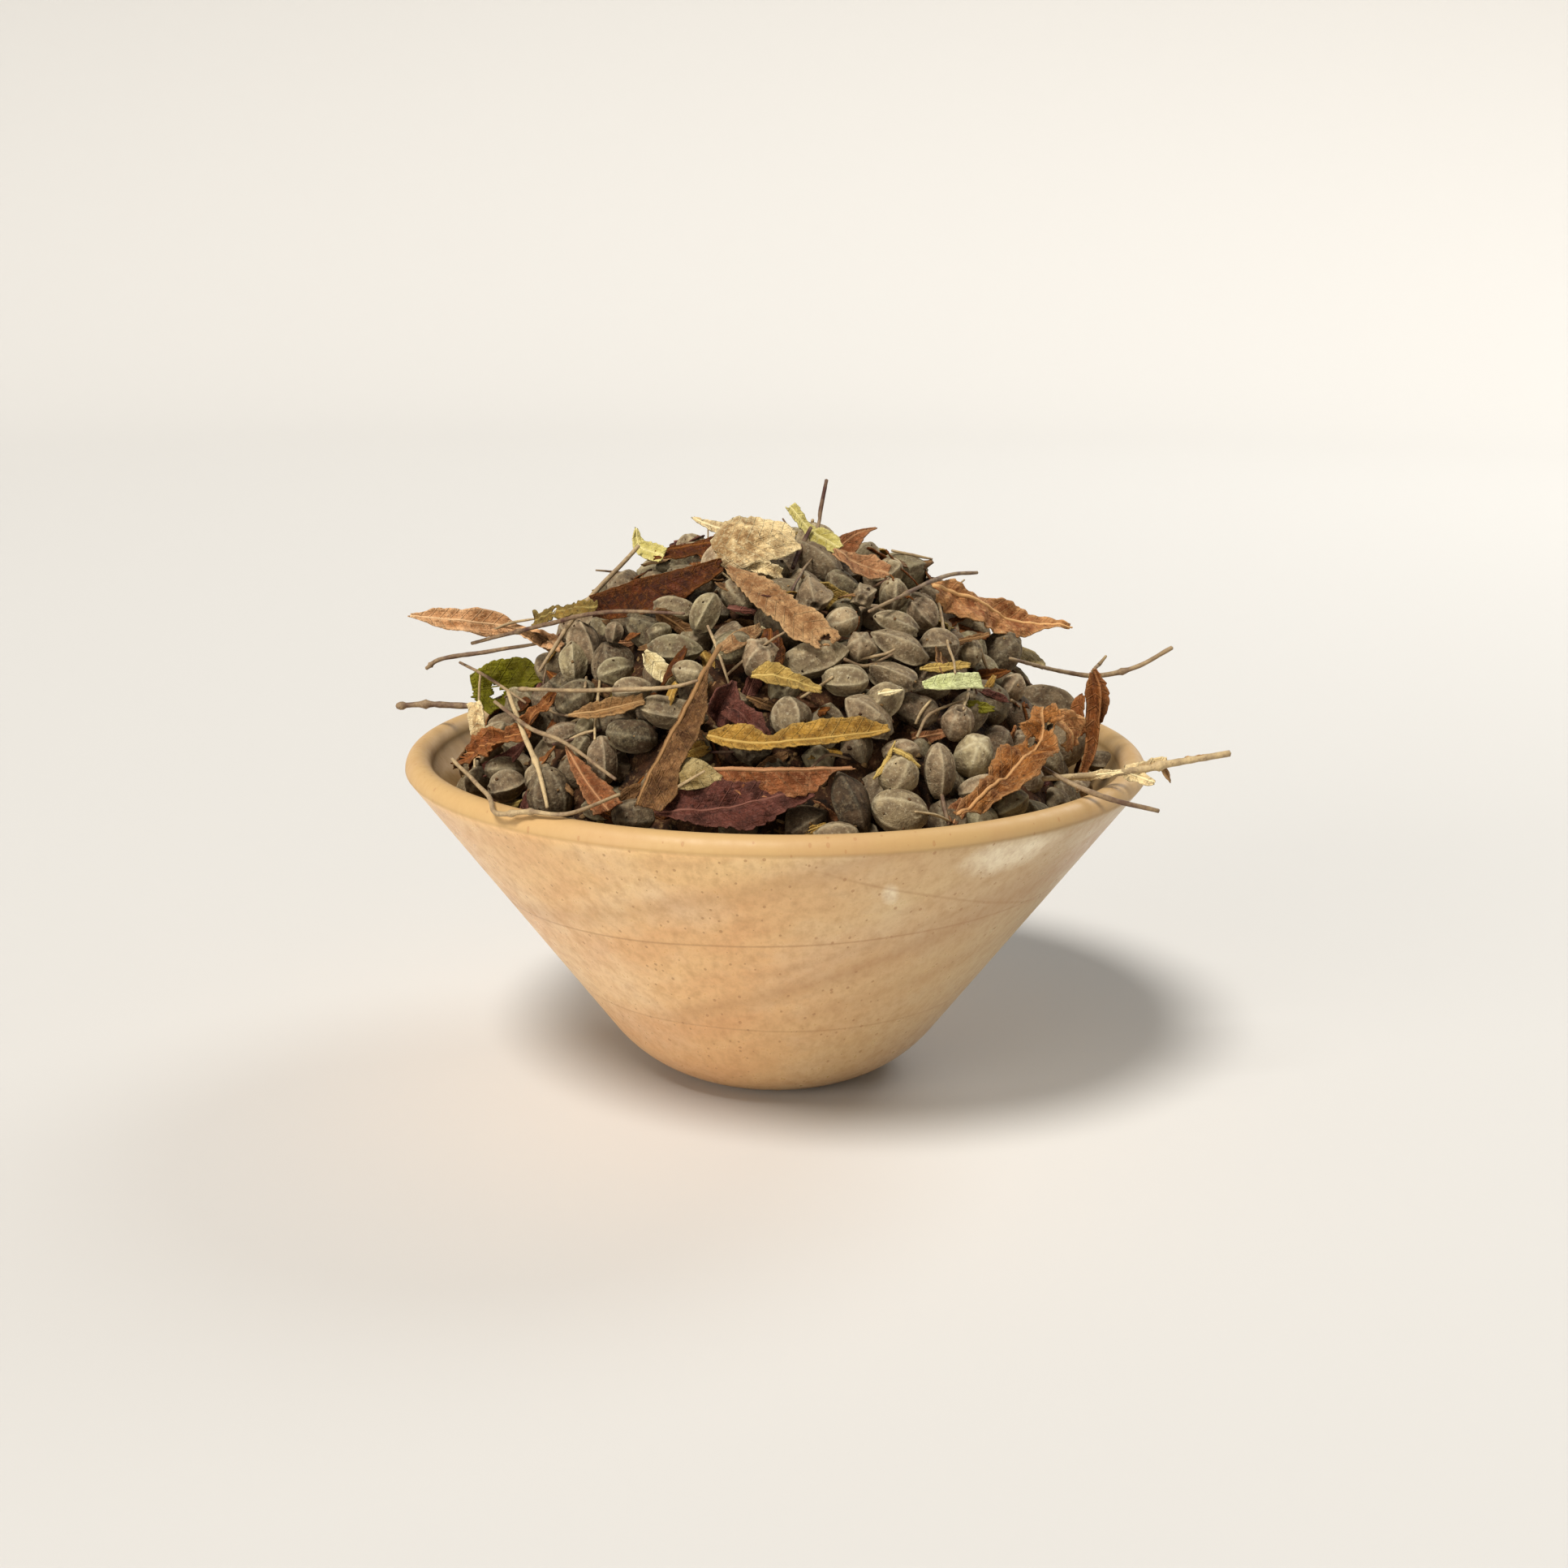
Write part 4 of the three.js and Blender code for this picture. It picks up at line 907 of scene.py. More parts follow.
def sheet_holes(shape, surface, seed):
    """Which quads of a sheet's grid are left after its ragged holes."""
    middle = (surface[1:, 1:] + surface[:-1, :-1]) / 2
    rows, lanes = middle.shape[:2]
    keep = np.ones((rows, lanes), bool)
    for share, lane, radius in shape.holes:
        at = surface[int(share * rows), int((lane + 1) / 2 * lanes)]
        ragged = radius * (1 + 0.35 * ripple(middle.reshape(-1, 3), 1.6, seed).reshape(rows, lanes))
        keep &= np.linalg.norm(middle - at, axis=-1) > ragged
    return keep


def add_midrib(gathering, shape, line, along, tone):
    """The midrib of a sheet, which may run on past both ends as a stem."""
    ahead = [line[0] - along[0] * shape.stem[0] * k for k in (1, 0.5) if shape.stem[0]]
    behind = [line[-1] + along[-1] * shape.stem[1] * k for k in (0.5, 1) if shape.stem[1]]
    line = np.vstack([*ahead, line, *behind])
    radii = np.linspace(shape.rib, shape.rib * 0.4, len(line))
    step = max(len(line) // 40, 1)
    add_tube(gathering, line[::step], radii[::step], 7, tone=tone, vein=1.0)


def add_sheet(gathering, shape, rng, grain, thickness, tone):
    """One leaf or scrap: a thin ragged sheet along its spine, and its midrib."""
    length = spine_length(shape.spine)
    rows = max(int(length / grain), 6)
    lanes = max(int(shape.width / grain), 6)
    share = np.linspace(0, 1, rows + 1)
    lane = np.linspace(-1, 1, lanes + 1)
    centre, along = curve(shape.spine, share)
    across = unit(np.cross(along, unit(np.array(shape.face, float))))
    normal = np.cross(across, along)

    left, right = sheet_sides(shape, share, length, rng)
    sideways = np.where(lane < 0, lane * left[:, None], lane * right[:, None])
    reach = np.maximum(left, right)[:, None]
    outward = np.abs(sideways) / reach
    fold = shape.fold * (1 + 0.7 * rag(share, 4, rng))[:, None]
    curls = [rag(share, length / 4, rng)[:, None] for _ in ("left", "right")]
    curl = np.where(lane < 0, *curls) * outward**3 * (0.3 + shape.crumple)
    lift = fold * reach * (np.sqrt(outward**2 + 0.01) - 0.5) + curl
    grid = centre[:, None] + sideways[..., None] * across[:, None] + lift[..., None] * normal[:, None]
    ends = np.exp(-share * length / 1.2) - np.exp(-(1 - share) * length / 1.2)
    shift = ends[:, None] * shape.torn * 2.2 * rag(lane, 5, rng)[None, :]
    grid += shift[..., None] * along[:, None]

    flat = grid.reshape(-1, 3)
    seed = int(rng.integers(1 << 30))
    bumps = shape.crumple * (0.7 * ripple(flat, 6.5, seed) + 0.3 * ripple(flat, 2.4, seed + 1))
    lengthwise = np.repeat(share * length, lanes + 1)
    offset = sideways.reshape(-1)
    quilt = np.cos(2 * math.pi * (lengthwise - VEIN_SLANT * np.abs(offset)) / VEIN_SPACING)
    bumps -= 0.07 * quilt * np.minimum(np.abs(offset), 1)
    flat = flat + bumps[:, None] * np.repeat(normal, lanes + 1, 0)
    surface = flat.reshape(rows + 1, lanes + 1, 3)
    facing = unit(np.cross(np.gradient(surface, axis=1), np.gradient(surface, axis=0)).reshape(-1, 3))

    margin = np.where(offset < 0, np.repeat(left, lanes + 1), np.repeat(right, lanes + 1))
    values = {
        "tone": tone + shape.fade * (0.5 - np.repeat(share, lanes + 1)),
        "rim": np.exp(-(margin - np.abs(offset)) / 0.5),
        "vein": np.exp(-((offset / 0.24) ** 2)) * (shape.rib > 0),
        "leaf_u": lengthwise,
        "leaf_v": offset,
    }
    gathering.add(
        np.vstack((flat + facing * thickness / 2, flat - facing * thickness / 2)),
        sheet_faces(sheet_holes(shape, surface, seed + 2)),
        **{key: np.tile(value, 2) for key, value in values.items()},
    )
    if shape.rib > 0:
        middle = int(np.argmin(np.abs(lane)))
        add_midrib(gathering, shape, surface[:, middle] + normal * thickness * 0.4, along, tone)


def add_tube(gathering, line, radii, sides, **values):
    """A closed round bar along a line of points."""
    line = np.asarray(line, float)
    along = unit(np.gradient(line, axis=0))
    side = unit(np.cross(along[0], (0.31, 0.52, 0.79)))
    frames = []
    for way in along:
        side = unit(side - (side @ way) * way)
        frames.append(side)
    first = np.array(frames)
    second = np.cross(along, first)
    turn = 2 * math.pi * np.arange(sides) / sides
    ring = np.cos(turn)[None, :, None] * first[:, None] + np.sin(turn)[None, :, None] * second[:, None]
    rings = line[:, None] + ring * np.asarray(radii)[:, None, None]
    start = line[0] - along[0] * radii[0] * 0.5
    end = line[-1] + along[-1] * radii[-1] * 0.5
    points = np.vstack((start, rings.reshape(-1, 3), end))
    gathering.add(points, ball_faces(len(line) + 1, sides), **values)


def add_stalk(gathering, spine, radius, tone, knots, rng):
    """A dry stalk with a slight waver, a taper, swollen knots and cut ends."""
    length = spine_length(spine)
    share = np.linspace(0, 1, max(int(length / 0.8), 8))
    line, along = curve(spine, share)
    seed = int(rng.integers(1 << 30))
    sideways = unit(np.cross(along, (0.2, 0.4, 0.9)))
    line = line + 0.12 * ripple(line, 11.0, seed)[:, None] * sideways
    radii = 0.82 * radius * np.interp(share, (0, 0.5, 1), (0.8, 1.0, 0.65))
    radii *= 1 + 0.06 * ripple(line, 1.9, seed + 1)
    for knot in knots:
        radii += radius * 0.45 * np.exp(-(((share - knot) * length / 0.8) ** 2))
    add_tube(gathering, line, radii, 9, tone=tone, rim=0.0)


# ---- Materials ----


def node(tree, kind, **inputs):
    """A shader node with its named inputs set, or linked where a value is a socket."""
    made = tree.nodes.new("ShaderNode" + kind)
    fill(tree, made, inputs)
    return made


def fill(tree, made, inputs):
    """Sets or links a node's inputs by their names, with _ for a space."""
    for name, value in inputs.items():
        connect(tree, value, made.inputs[name.replace("_", " ")])


def connect(tree, value, socket):
    """Links a value that is a socket, or sets it. A colour is made opaque."""
    if isinstance(value, bpy.types.NodeSocket):
        tree.links.new(value, socket)
    elif socket.type == "RGBA":
        socket.default_value = (*value, 1)
    else:
        socket.default_value = value


def maths(tree, operation, *values):
    """Output of a Math node."""
    made = tree.nodes.new("ShaderNodeMath")
    made.operation = operation
    for value, socket in zip(values, made.inputs):
        connect(tree, value, socket)
    return made.outputs[0]


def mixed(tree, factor, first, second, blend="MIX"):
    """Output of a Mix node for colours."""
    made = tree.nodes.new("ShaderNodeMix")
    made.data_type = "RGBA"
    made.blend_type = blend
    for value, index in ((factor, 0), (first, 6), (second, 7)):
        connect(tree, value, made.inputs[index])
    return made.outputs[2]


def coated(tree, colour, coat, mask, depth):
    """A colour with a coat over it where a mask is, at most to a depth."""
    return mixed(tree, maths(tree, "MULTIPLY", mask, depth), colour, coat)


def ranged(tree, value, low, high, to_low=0.0, to_high=1.0):
    """Output of a Map Range node."""
    made = node(tree, "MapRange", Value=value, From_Min=low, From_Max=high)
    made.inputs["To Min"].default_value = to_low
    made.inputs["To Max"].default_value = to_high
    return made.outputs[0]


def noise(tree, place, scale, detail, roughness):
    """Output of a Noise Texture node."""
    made = node(tree, "TexNoise", Vector=place, Scale=scale, Detail=detail, Roughness=roughness)
    return made.outputs["Fac"]


def mesh_value(tree, name):
    """A value that the mesh carries at its points."""
    made = tree.nodes.new("ShaderNodeAttribute")
    made.attribute_name = name
    return made.outputs["Fac"]


def new_group(name, inputs, outputs):
    """An empty node group with number sockets, and its ends."""
    group = bpy.data.node_groups.new(name, "ShaderNodeTree")
    for key, default in inputs.items():
        socket = group.interface.new_socket(key, in_out="INPUT", socket_type="NodeSocketFloat")
        socket.default_value = default
    for key in outputs:
        group.interface.new_socket(key, in_out="OUTPUT", socket_type="NodeSocketFloat")
    return group, group.nodes.new("NodeGroupInput"), group.nodes.new("NodeGroupOutput")


def dry_mottle_group():
    """Blotches, finer grit, pale specks and a rough height, as on dried plant skin."""
    name = "Dry mottle"
    if name in bpy.data.node_groups:
        return bpy.data.node_groups[name]
    sizes = {"Blotch Size": 3.0, "Speck Size": 0.5}
    group, ends, out = new_group(name, sizes, ("Blotches", "Grit", "Specks", "Height"))
    place = node(group, "TexCoord").outputs["Object"]
    per_metre = 1 / MM
    blotch_scale = maths(group, "DIVIDE", per_metre, ends.outputs["Blotch Size"])
    speck_scale = maths(group, "DIVIDE", per_metre, ends.outputs["Speck Size"])
    blotch = noise(group, place, blotch_scale, 4.0, 0.65)
    grit = noise(group, place, per_metre / 1.1, 3.0, 0.8)
    speck = noise(group, place, speck_scale, 2.0, 0.7)
    connect(group, ranged(group, blotch, 0.38, 0.62), out.inputs["Blotches"])
    connect(group, ranged(group, grit, 0.33, 0.67), out.inputs["Grit"])
    connect(group, ranged(group, speck, 0.54, 0.7), out.inputs["Specks"])
    connect(group, maths(group, "MULTIPLY_ADD", speck, 0.5, grit), out.inputs["Height"])
    return group


def leaf_veins_group():
    """Side veins, the net between them and lengthwise streaks, from a leaf's own places in mm."""
    name = "Leaf veins"
    if name in bpy.data.node_groups:
        return bpy.data.node_groups[name]
    group, ends, out = new_group(name, {"Spacing": VEIN_SPACING}, ("Veins", "Net", "Streaks"))
    lengthwise = mesh_value(group, "leaf_u")
    sideways = mesh_value(group, "leaf_v")
    slant = maths(group, "MULTIPLY", maths(group, "ABSOLUTE", sideways), VEIN_SLANT)
    place = maths(group, "DIVIDE", maths(group, "SUBTRACT", lengthwise, slant), ends.outputs["Spacing"])
    gap = maths(group, "ABSOLUTE", maths(group, "SUBTRACT", maths(group, "FRACT", place), 0.5))
    spot = node(group, "CombineXYZ", X=lengthwise, Y=sideways)
    net = node(group, "TexVoronoi", Vector=spot.outputs[0], Scale=1.3)
    net.feature = "DISTANCE_TO_EDGE"
    long_way = maths(group, "MULTIPLY", lengthwise, 0.22)
    short_way = maths(group, "MULTIPLY", sideways, 1.7)
    drawn = node(group, "CombineXYZ", X=long_way, Y=short_way)
    streak = noise(group, drawn.outputs[0], 1.0, 2.0, 0.6)
    connect(group, ranged(group, gap, 0.42, 0.5), out.inputs["Veins"])
    connect(group, ranged(group, net.outputs["Distance"], 0.0, 0.12, 1.0, 0.0), out.inputs["Net"])
    connect(group, ranged(group, streak, 0.4, 0.66), out.inputs["Streaks"])
    return group


def new_material(name, roughness, specular):
    """A material with its Principled shader, ready for its colour and relief."""
    material = bpy.data.materials.new(name)
    material.use_nodes = True
    tree = material.node_tree
    shader = tree.nodes["Principled BSDF"]
    shader.inputs["Roughness"].default_value = roughness
    shader.inputs["Specular IOR Level"].default_value = specular
    return material, tree, shader


def relief(tree, shader, height, distance):
    """Fine relief of distance mm from a height."""
    bump = node(tree, "Bump", Strength=1.0, Distance=distance * MM, Height=height)
    connect(tree, bump.outputs["Normal"], shader.inputs["Normal"])


def placed_group(tree, group, **inputs):
    """Outputs of a node group that is placed in a material."""
    made = tree.nodes.new("ShaderNodeGroup")
    made.node_tree = group
    fill(tree, made, inputs)
    return made.outputs


def fruit_material(look):
    """Matt shell: each fruit has its own tone, with blotches, grit, dust, pale ribs, a dark scar and
    painted shade in its wrinkles.
    """
    material, tree, shader = new_material("Linden fruit shell", 0.78, 0.2)
    mottle = placed_group(tree, dry_mottle_group(), Blotch_Size=3.4, Speck_Size=0.7)
    tone = mesh_value(tree, "tone")
    shade = maths(tree, "MULTIPLY_ADD", mottle["Blotches"], 0.3, maths(tree, "SUBTRACT", tone, 0.36))
    shade = maths(tree, "MULTIPLY_ADD", mottle["Grit"], 0.42, shade)
    colour = mixed(tree, shade, look.fruit_dark, look.fruit_pale)
    tint = mixed(tree, mesh_value(tree, "hue"), look.fruit_warm, look.fruit_olive)
    colour = mixed(tree, 1.0, colour, tint, "MULTIPLY")
    stain = ranged(tree, mottle["Blotches"], 0.55, 0.0, 0.0, 0.35)
    colour = mixed(tree, stain, colour, look.fruit_stain)
    # Painted shade in the wrinkles.
    colour = coated(tree, colour, look.fruit_crease_shade, mesh_value(tree, "grime"), 0.6)
    dust = maths(tree, "MULTIPLY_ADD", tone, 0.4, 0.12)
    colour = coated(tree, colour, look.fruit_speck, mottle["Specks"], dust)
    rib_dust = maths(tree, "MULTIPLY", dust, 0.7)
    colour = coated(tree, colour, look.fruit_speck, mesh_value(tree, "rib"), rib_dust)
    colour = coated(tree, colour, look.fruit_scar, mesh_value(tree, "scar"), 0.85)
    connect(tree, colour, shader.inputs["Base Color"])
    rough = ranged(tree, mottle["Grit"], 0.0, 1.0, 0.68, 0.9)
    connect(tree, rough, shader.inputs["Roughness"])
    relief(tree, shader, mottle["Height"], 0.3)
    return material


def leaf_material(kind):
    """Papery blade with blotches, bleached streaks, side veins, a fine net, stains and a pale edge."""
    settings = bpy.context.scene.linden_leaf
    blade, blotch, vein, speck = (getattr(settings, f"{kind}_{part}") for part in LEAF_COLOURS)
    roughness = LEAF_KINDS[kind].roughness
    material, tree, shader = new_material(f"Dry leaf, {kind}", roughness, 0.14)
    mottle = placed_group(tree, dry_mottle_group(), Blotch_Size=3.6, Speck_Size=1.0)
    veins = placed_group(tree, leaf_veins_group())
    blend = maths(tree, "SUBTRACT", mottle["Blotches"], 0.25)
    blend = maths(tree, "MULTIPLY_ADD", mesh_value(tree, "tone"), 0.5, blend)
    colour = mixed(tree, blend, blade, blotch)
    colour = coated(tree, colour, vein, ranged(tree, mottle["Grit"], 0.5, 1.0), 0.45)
    colour = coated(tree, colour, blotch, veins["Streaks"], 0.35)
    colour = mixed(tree, ranged(tree, mottle["Specks"], 0.3, 0.9, 0.0, 0.65), colour, speck)
    colour = coated(tree, colour, speck, veins["Net"], 0.2)
    colour = coated(tree, colour, vein, veins["Veins"], 0.3)
    colour = coated(tree, colour, vein, mesh_value(tree, "rim"), 0.35)
    colour = coated(tree, colour, vein, mesh_value(tree, "vein"), 0.75)
    connect(tree, colour, shader.inputs["Base Color"])
    rough = ranged(tree, mottle["Blotches"], 0.0, 1.0, roughness, roughness + 0.2)
    connect(tree, rough, shader.inputs["Roughness"])
    ridge = maths(tree, "MULTIPLY_ADD", veins["Veins"], 0.8, mottle["Height"])
    ridge = maths(tree, "MULTIPLY_ADD", veins["Net"], 0.25, ridge)
    ridge = maths(tree, "MULTIPLY_ADD", veins["Streaks"], -0.7, ridge)
    relief(tree, shader, ridge, 0.2)
    return material


def stalk_material(look):
    """Dry stalk: from dark pinkish brown to straw by its tone, with fine mottling."""
    material, tree, shader = new_material("Dry stalk", 0.6, 0.3)
    mottle = placed_group(tree, dry_mottle_group(), Blotch_Size=4.0, Speck_Size=0.6)
    tone = maths(tree, "SUBTRACT", mesh_value(tree, "tone"), 0.2)
    tone = maths(tree, "MULTIPLY_ADD", mottle["Blotches"], 0.4, tone)
    colour = mixed(tree, tone, look.stalk_dark, look.stalk_straw)
    colour = coated(tree, colour, look.stalk_dark, mottle["Specks"], 0.4)
    connect(tree, colour, shader.inputs["Base Color"])
    relief(tree, shader, mottle["Height"], 0.2)
    return material


def crumb_material(look):
    """Dark crumbled leaf and dust deep in the heap."""
    material, tree, shader = new_material("Crumbled leaf", 0.9, 0.15)
    mottle = placed_group(tree, dry_mottle_group(), Blotch_Size=4.0, Speck_Size=1.2)
    colour = mixed(tree, mottle["Blotches"], look.crumb_dark, look.crumb_brown)
    colour = coated(tree, colour, look.crumb_pale, mottle["Specks"], 0.35)
    colour = mixed(tree, mesh_value(tree, "tone"), colour, look.crumb_pale)
    connect(tree, colour, shader.inputs["Base Color"])
    relief(tree, shader, mottle["Height"], 0.5)
    return material


def pale_patch(tree, place, cloud, patch):
    """Mask of one cloudy pale patch, as used for the wood's own pale patches and for the painted
    highlight.
    """
    off = node(tree, "VectorMath", Vector=place)
    off.operation = "SUBTRACT"
    off.inputs[1].default_value = [c * MM for c in patch.at]
    scaled = node(tree, "Mapping", Vector=off.outputs[0])
    scaled.inputs["Scale"].default_value = [1 / (c * MM) for c in patch.size]
    reach = node(tree, "VectorMath", Vector=scaled.outputs[0])
    reach.operation = "LENGTH"
    soft = maths(tree, "MULTIPLY_ADD", cloud, -1.6, reach.outputs["Value"])
    return ranged(tree, soft, -0.5, 0.3, patch.depth, 0.0)


def growth_line(tree, x, z, waver, grain):
    """Mask of a wavering growth line round the bowl."""
    level = maths(tree, "ADD", maths(tree, "MULTIPLY_ADD", x, -grain.tilt, z), waver)
    gap = maths(tree, "ABSOLUTE", maths(tree, "SUBTRACT", level, grain.height * MM))
    line = ranged(tree, gap, 0.0, grain.width * MM, grain.depth, 0.0)
    start = ranged(tree, x, grain.start * MM, (grain.start + 12) * MM)
    return maths(tree, "MULTIPLY", line, start)


def wood_material(look):
    """Pale turned wood: slanting cloudy figure, thin growth lines, pores and a yellower lip, with
    painted shade on the right side, low down and on the inside, and a painted highlight below the lip at
    the right.
    """
    material, tree, shader = new_material("Turned pale wood", 0.4, 0.4)
    place = node(tree, "TexCoord").outputs["Object"]
    x, _, z = node(tree, "SeparateXYZ", Vector=place).outputs
    slanted = node(tree, "Mapping", Vector=place)
    slanted.inputs["Rotation"].default_value = (0.0, math.radians(24), 0.0)
    drawn = node(tree, "Mapping", Vector=slanted.outputs[0])
    drawn.inputs["Scale"].default_value = (1.0, 1.0, 3.4)
    figure = ranged(tree, noise(tree, drawn.outputs[0], 16.0, 5.0, 0.62), 0.36, 0.64)
    colour = mixed(tree, figure, look.wood_warm, look.wood_pale)
    cloud = noise(tree, place, 42.0, 4.0, 0.62)
    colour = mixed(tree, ranged(tree, cloud, 0.48, 0.78, 0.0, 0.4), colour, look.wood_cream_and_highlight)
    warp = noise(tree, place, 14.0, 2.0, 0.5)
    # Painted shade: greyer, darker wood towards the right side of the bowl.
    shade_right = ranged(tree, maths(tree, "MULTIPLY_ADD", warp, 0.05, x), 0.02, 0.08, 0.0, 0.8)
    colour = mixed(tree, shade_right, colour, look.wood_shade_right)
    # The wood's own pale patches, and last the painted highlight: a painted reflection below the lip at
    # the right.
    for patch in WOOD_PATCHES_AND_HIGHLIGHT:
        colour = mixed(tree, pale_patch(tree, place, cloud, patch), colour, look.wood_cream_and_highlight)
    # Painted shade: darker towards the foot, low on the bowl.
    colour = mixed(tree, ranged(tree, z, 0.0, 0.03, 0.4, 0.0), colour, look.wood_line_and_shade)
    waver = maths(tree, "MULTIPLY", maths(tree, "SUBTRACT", warp, 0.5), 0.003)
    for grain in GRAIN_LINES:
        colour = mixed(tree, growth_line(tree, x, z, waver, grain), colour, look.wood_line_and_shade)

    streaks = node(tree, "Mapping", Vector=place)
    streaks.inputs["Scale"].default_value = (1.0, 1.0, 0.45)
    pores = node(tree, "TexVoronoi", Vector=streaks.outputs[0], Scale=640.0)
    pore_size = node(tree, "SeparateColor", Color=pores.outputs["Color"]).outputs[0]
    pore_size = ranged(tree, pore_size, 0.35, 1.0, 0.02, 0.22)
    pore_mask = maths(tree, "LESS_THAN", pores.outputs["Distance"], pore_size)
    colour = coated(tree, colour, look.wood_line_and_shade, pore_mask, 0.6)
    fibre = noise(tree, streaks.outputs[0], 480.0, 3.0, 0.7)
    colour = mixed(tree, ranged(tree, fibre, 0.42, 0.72, 0.0, 0.42), colour, look.wood_line_and_shade)

    lip = ranged(tree, z, (LIP_BASE_HEIGHT - 0.6) * MM, (LIP_BASE_HEIGHT + 0.2) * MM, 0.0, 0.9)
    worn = mixed(tree, ranged(tree, cloud, 0.45, 0.7, 0.0, 0.35), look.wood_lip, look.wood_line_and_shade)
    worn = coated(tree, worn, look.wood_line_and_shade, pore_mask, 0.5)
    colour = mixed(tree, lip, colour, worn)
    # Painted shade on the inside wall of the bowl.
    colour = coated(tree, colour, look.wood_inside_shade, mesh_value(tree, "inside"), 0.7)
    connect(tree, colour, shader.inputs["Base Color"])
    rough = maths(tree, "MULTIPLY_ADD", lip, 0.2, ranged(tree, fibre, 0.3, 0.7, 0.26, 0.42))
    connect(tree, rough, shader.inputs["Roughness"])
    height = maths(tree, "MULTIPLY_ADD", figure, 2.5, fibre)
    height = maths(tree, "MULTIPLY_ADD", pore_mask, -1.5, height)
    relief(tree, shader, height, 0.03)
    return material


# ---- Settings ----


def paint(code):
    """Linear colour of a six-digit screen colour."""
    parts = [int(code[i:i + 2], 16) / 255 for i in (0, 2, 4)]
    return tuple(p / 12.92 if p <= 0.04045 else ((p + 0.055) / 1.055) ** 2.4 for p in parts)


def colour_setting(name, description, code):
    """A colour to choose, with a screen colour as its default."""
    return bpy.props.FloatVectorProperty(
        name=name, description=description, default=paint(code), subtype="COLOR", size=3, min=0, max=1
    )


def length_setting(name, description, millimetres):
    """A length to choose."""
    return bpy.props.FloatProperty(
        name=name, description=description, default=millimetres * MM, min=0,
        unit="LENGTH", subtype="DISTANCE",
    )


def count_setting(name, description, default):
    """A number of things to choose."""
    return bpy.props.IntProperty(name=name, description=description, default=default, min=0)


class LindenBowlSettings(bpy.types.PropertyGroup):
    """Sizes of the bowl's and the heap's pieces."""

    bowl_sides: count_setting("Bowl sides", "Facets round the turned bowl", 256)
    seat_depth: length_setting("Seat depth", "Depth of a surface fruit's centre in the heap", 2.4)
    fruit_width: length_setting("Fruit width", "Mean width of the strewn fruits", FRUIT_WIDTH)
    layer_count: count_setting("Fruits in a layer", "Fruits tried in each layer of the heap", 900)
    core_depth: length_setting("Core depth", "Depth of the crumbled core below the fruits", 9.0)
    leaf_thickness: length_setting("Leaf thickness", "Thickness of a dry leaf", 0.28)
    leaf_grain: length_setting("Leaf mesh grain", "Length of a face on the larger leaves", 0.37)
    scrap_count: count_setting("Scraps", "Small leaf scraps strewn over the heap", 460)
    twig_count: count_setting("Twigs", "Small bits of stalk strewn over the heap", 110)
    crumb_count: count_setting("Crumbs", "Crumbs of leaf and shell in the gaps", 1300)


class LindenLookSettings(bpy.types.PropertyGroup):
    """Colours of the bowl and its contents."""

    wood_warm: colour_setting("Warm wood", "Darker peach figure of the wood", "DEAC77")
    wood_pale: colour_setting("Pale wood", "Pale figure of the wood", "EAC48B")
    # Also the colour of the painted highlight below the lip at the right.
    wood_cream_and_highlight: colour_setting("Cream wood", "Palest clouds and patches", "F4E4C2")
    # Painted shade on the right side of the bowl, greyer and darker.
    wood_shade_right: colour_setting("Shaded side", "Greyer olive wood at one side", "B8A47E")
    wood_lip: colour_setting("Lip", "Yellower wood of the lip", "B6935F")
    # Painted shade of the bowl's inside wall.
    wood_inside_shade: colour_setting("Inside", "Duller wood of the inside", "9E7E50")
    # Growth lines and pores, and also the painted shade low on the bowl.
    wood_line_and_shade: colour_setting("Growth line", "Thin growth lines and pores", "A9794C")
    fruit_dark: colour_setting("Dark shell", "Darkest fruits", "2B241B")
    fruit_pale: colour_setting("Pale shell", "Palest fruits", "AFA085")
    fruit_stain: colour_setting("Stain", "Pinkish brown stains of the shell", "7E644A")
    # Painted shade in the wrinkles of the shell.
    fruit_crease_shade: colour_setting("Crease shade", "Dark brown in the wrinkles", "4A3826")
    fruit_warm: colour_setting("Warm tint", "Tint of the pinker fruits", "FFEBDB")
    fruit_olive: colour_setting("Olive tint", "Tint of the greener fruits", "F1F2DA")
    fruit_speck: colour_setting("Pale specks", "Specks and ribs of the shell", "C6B998")
    fruit_scar: colour_setting("Scar", "Dark ring where the stalk was", "33271C")
    stalk_dark: colour_setting("Dark stalk", "Dark pinkish brown stalks", "4E3128")
    stalk_straw: colour_setting("Straw stalk", "Palest stalks", "BFA67A")
    crumb_dark: colour_setting("Dark crumbs", "Darkest crumbled leaf", "1D130C")
    crumb_brown: colour_setting("Brown crumbs", "Brown crumbled leaf", "4A2E1B")
    crumb_pale: colour_setting("Pale crumbs", "Palest crumbs", "9C7C52")
    floor: colour_setting("Floor", "Plain floor and background", "C9C6C1")


class LindenLeafSettings(bpy.types.PropertyGroup):
    """Colours of each kind of dry leaf."""

    __annotations__ = {
        f"{kind}_{part}": colour_setting(
            f"{kind.capitalize()} {part}", f"Colour of the {part} of {kind} leaves", getattr(look, part)
        )
        for kind, look in LEAF_KINDS.items()
        for part in LEAF_COLOURS
    }


def leaf_materials():
    """The material of each kind of leaf, made once."""
    made = {}
    for kind in LEAF_KINDS:
        made[kind] = bpy.data.materials.get(f"Dry leaf, {kind}") or leaf_material(kind)
    return made


def settle(piece, slot, *nodes):
    """Puts a finished piece on the model: on its body, with the nodes it stands for hidden. Its slot is
    not used.
    """
    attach(piece, "root")
    if nodes:
        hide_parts(*nodes)


# ---- Bowl ----


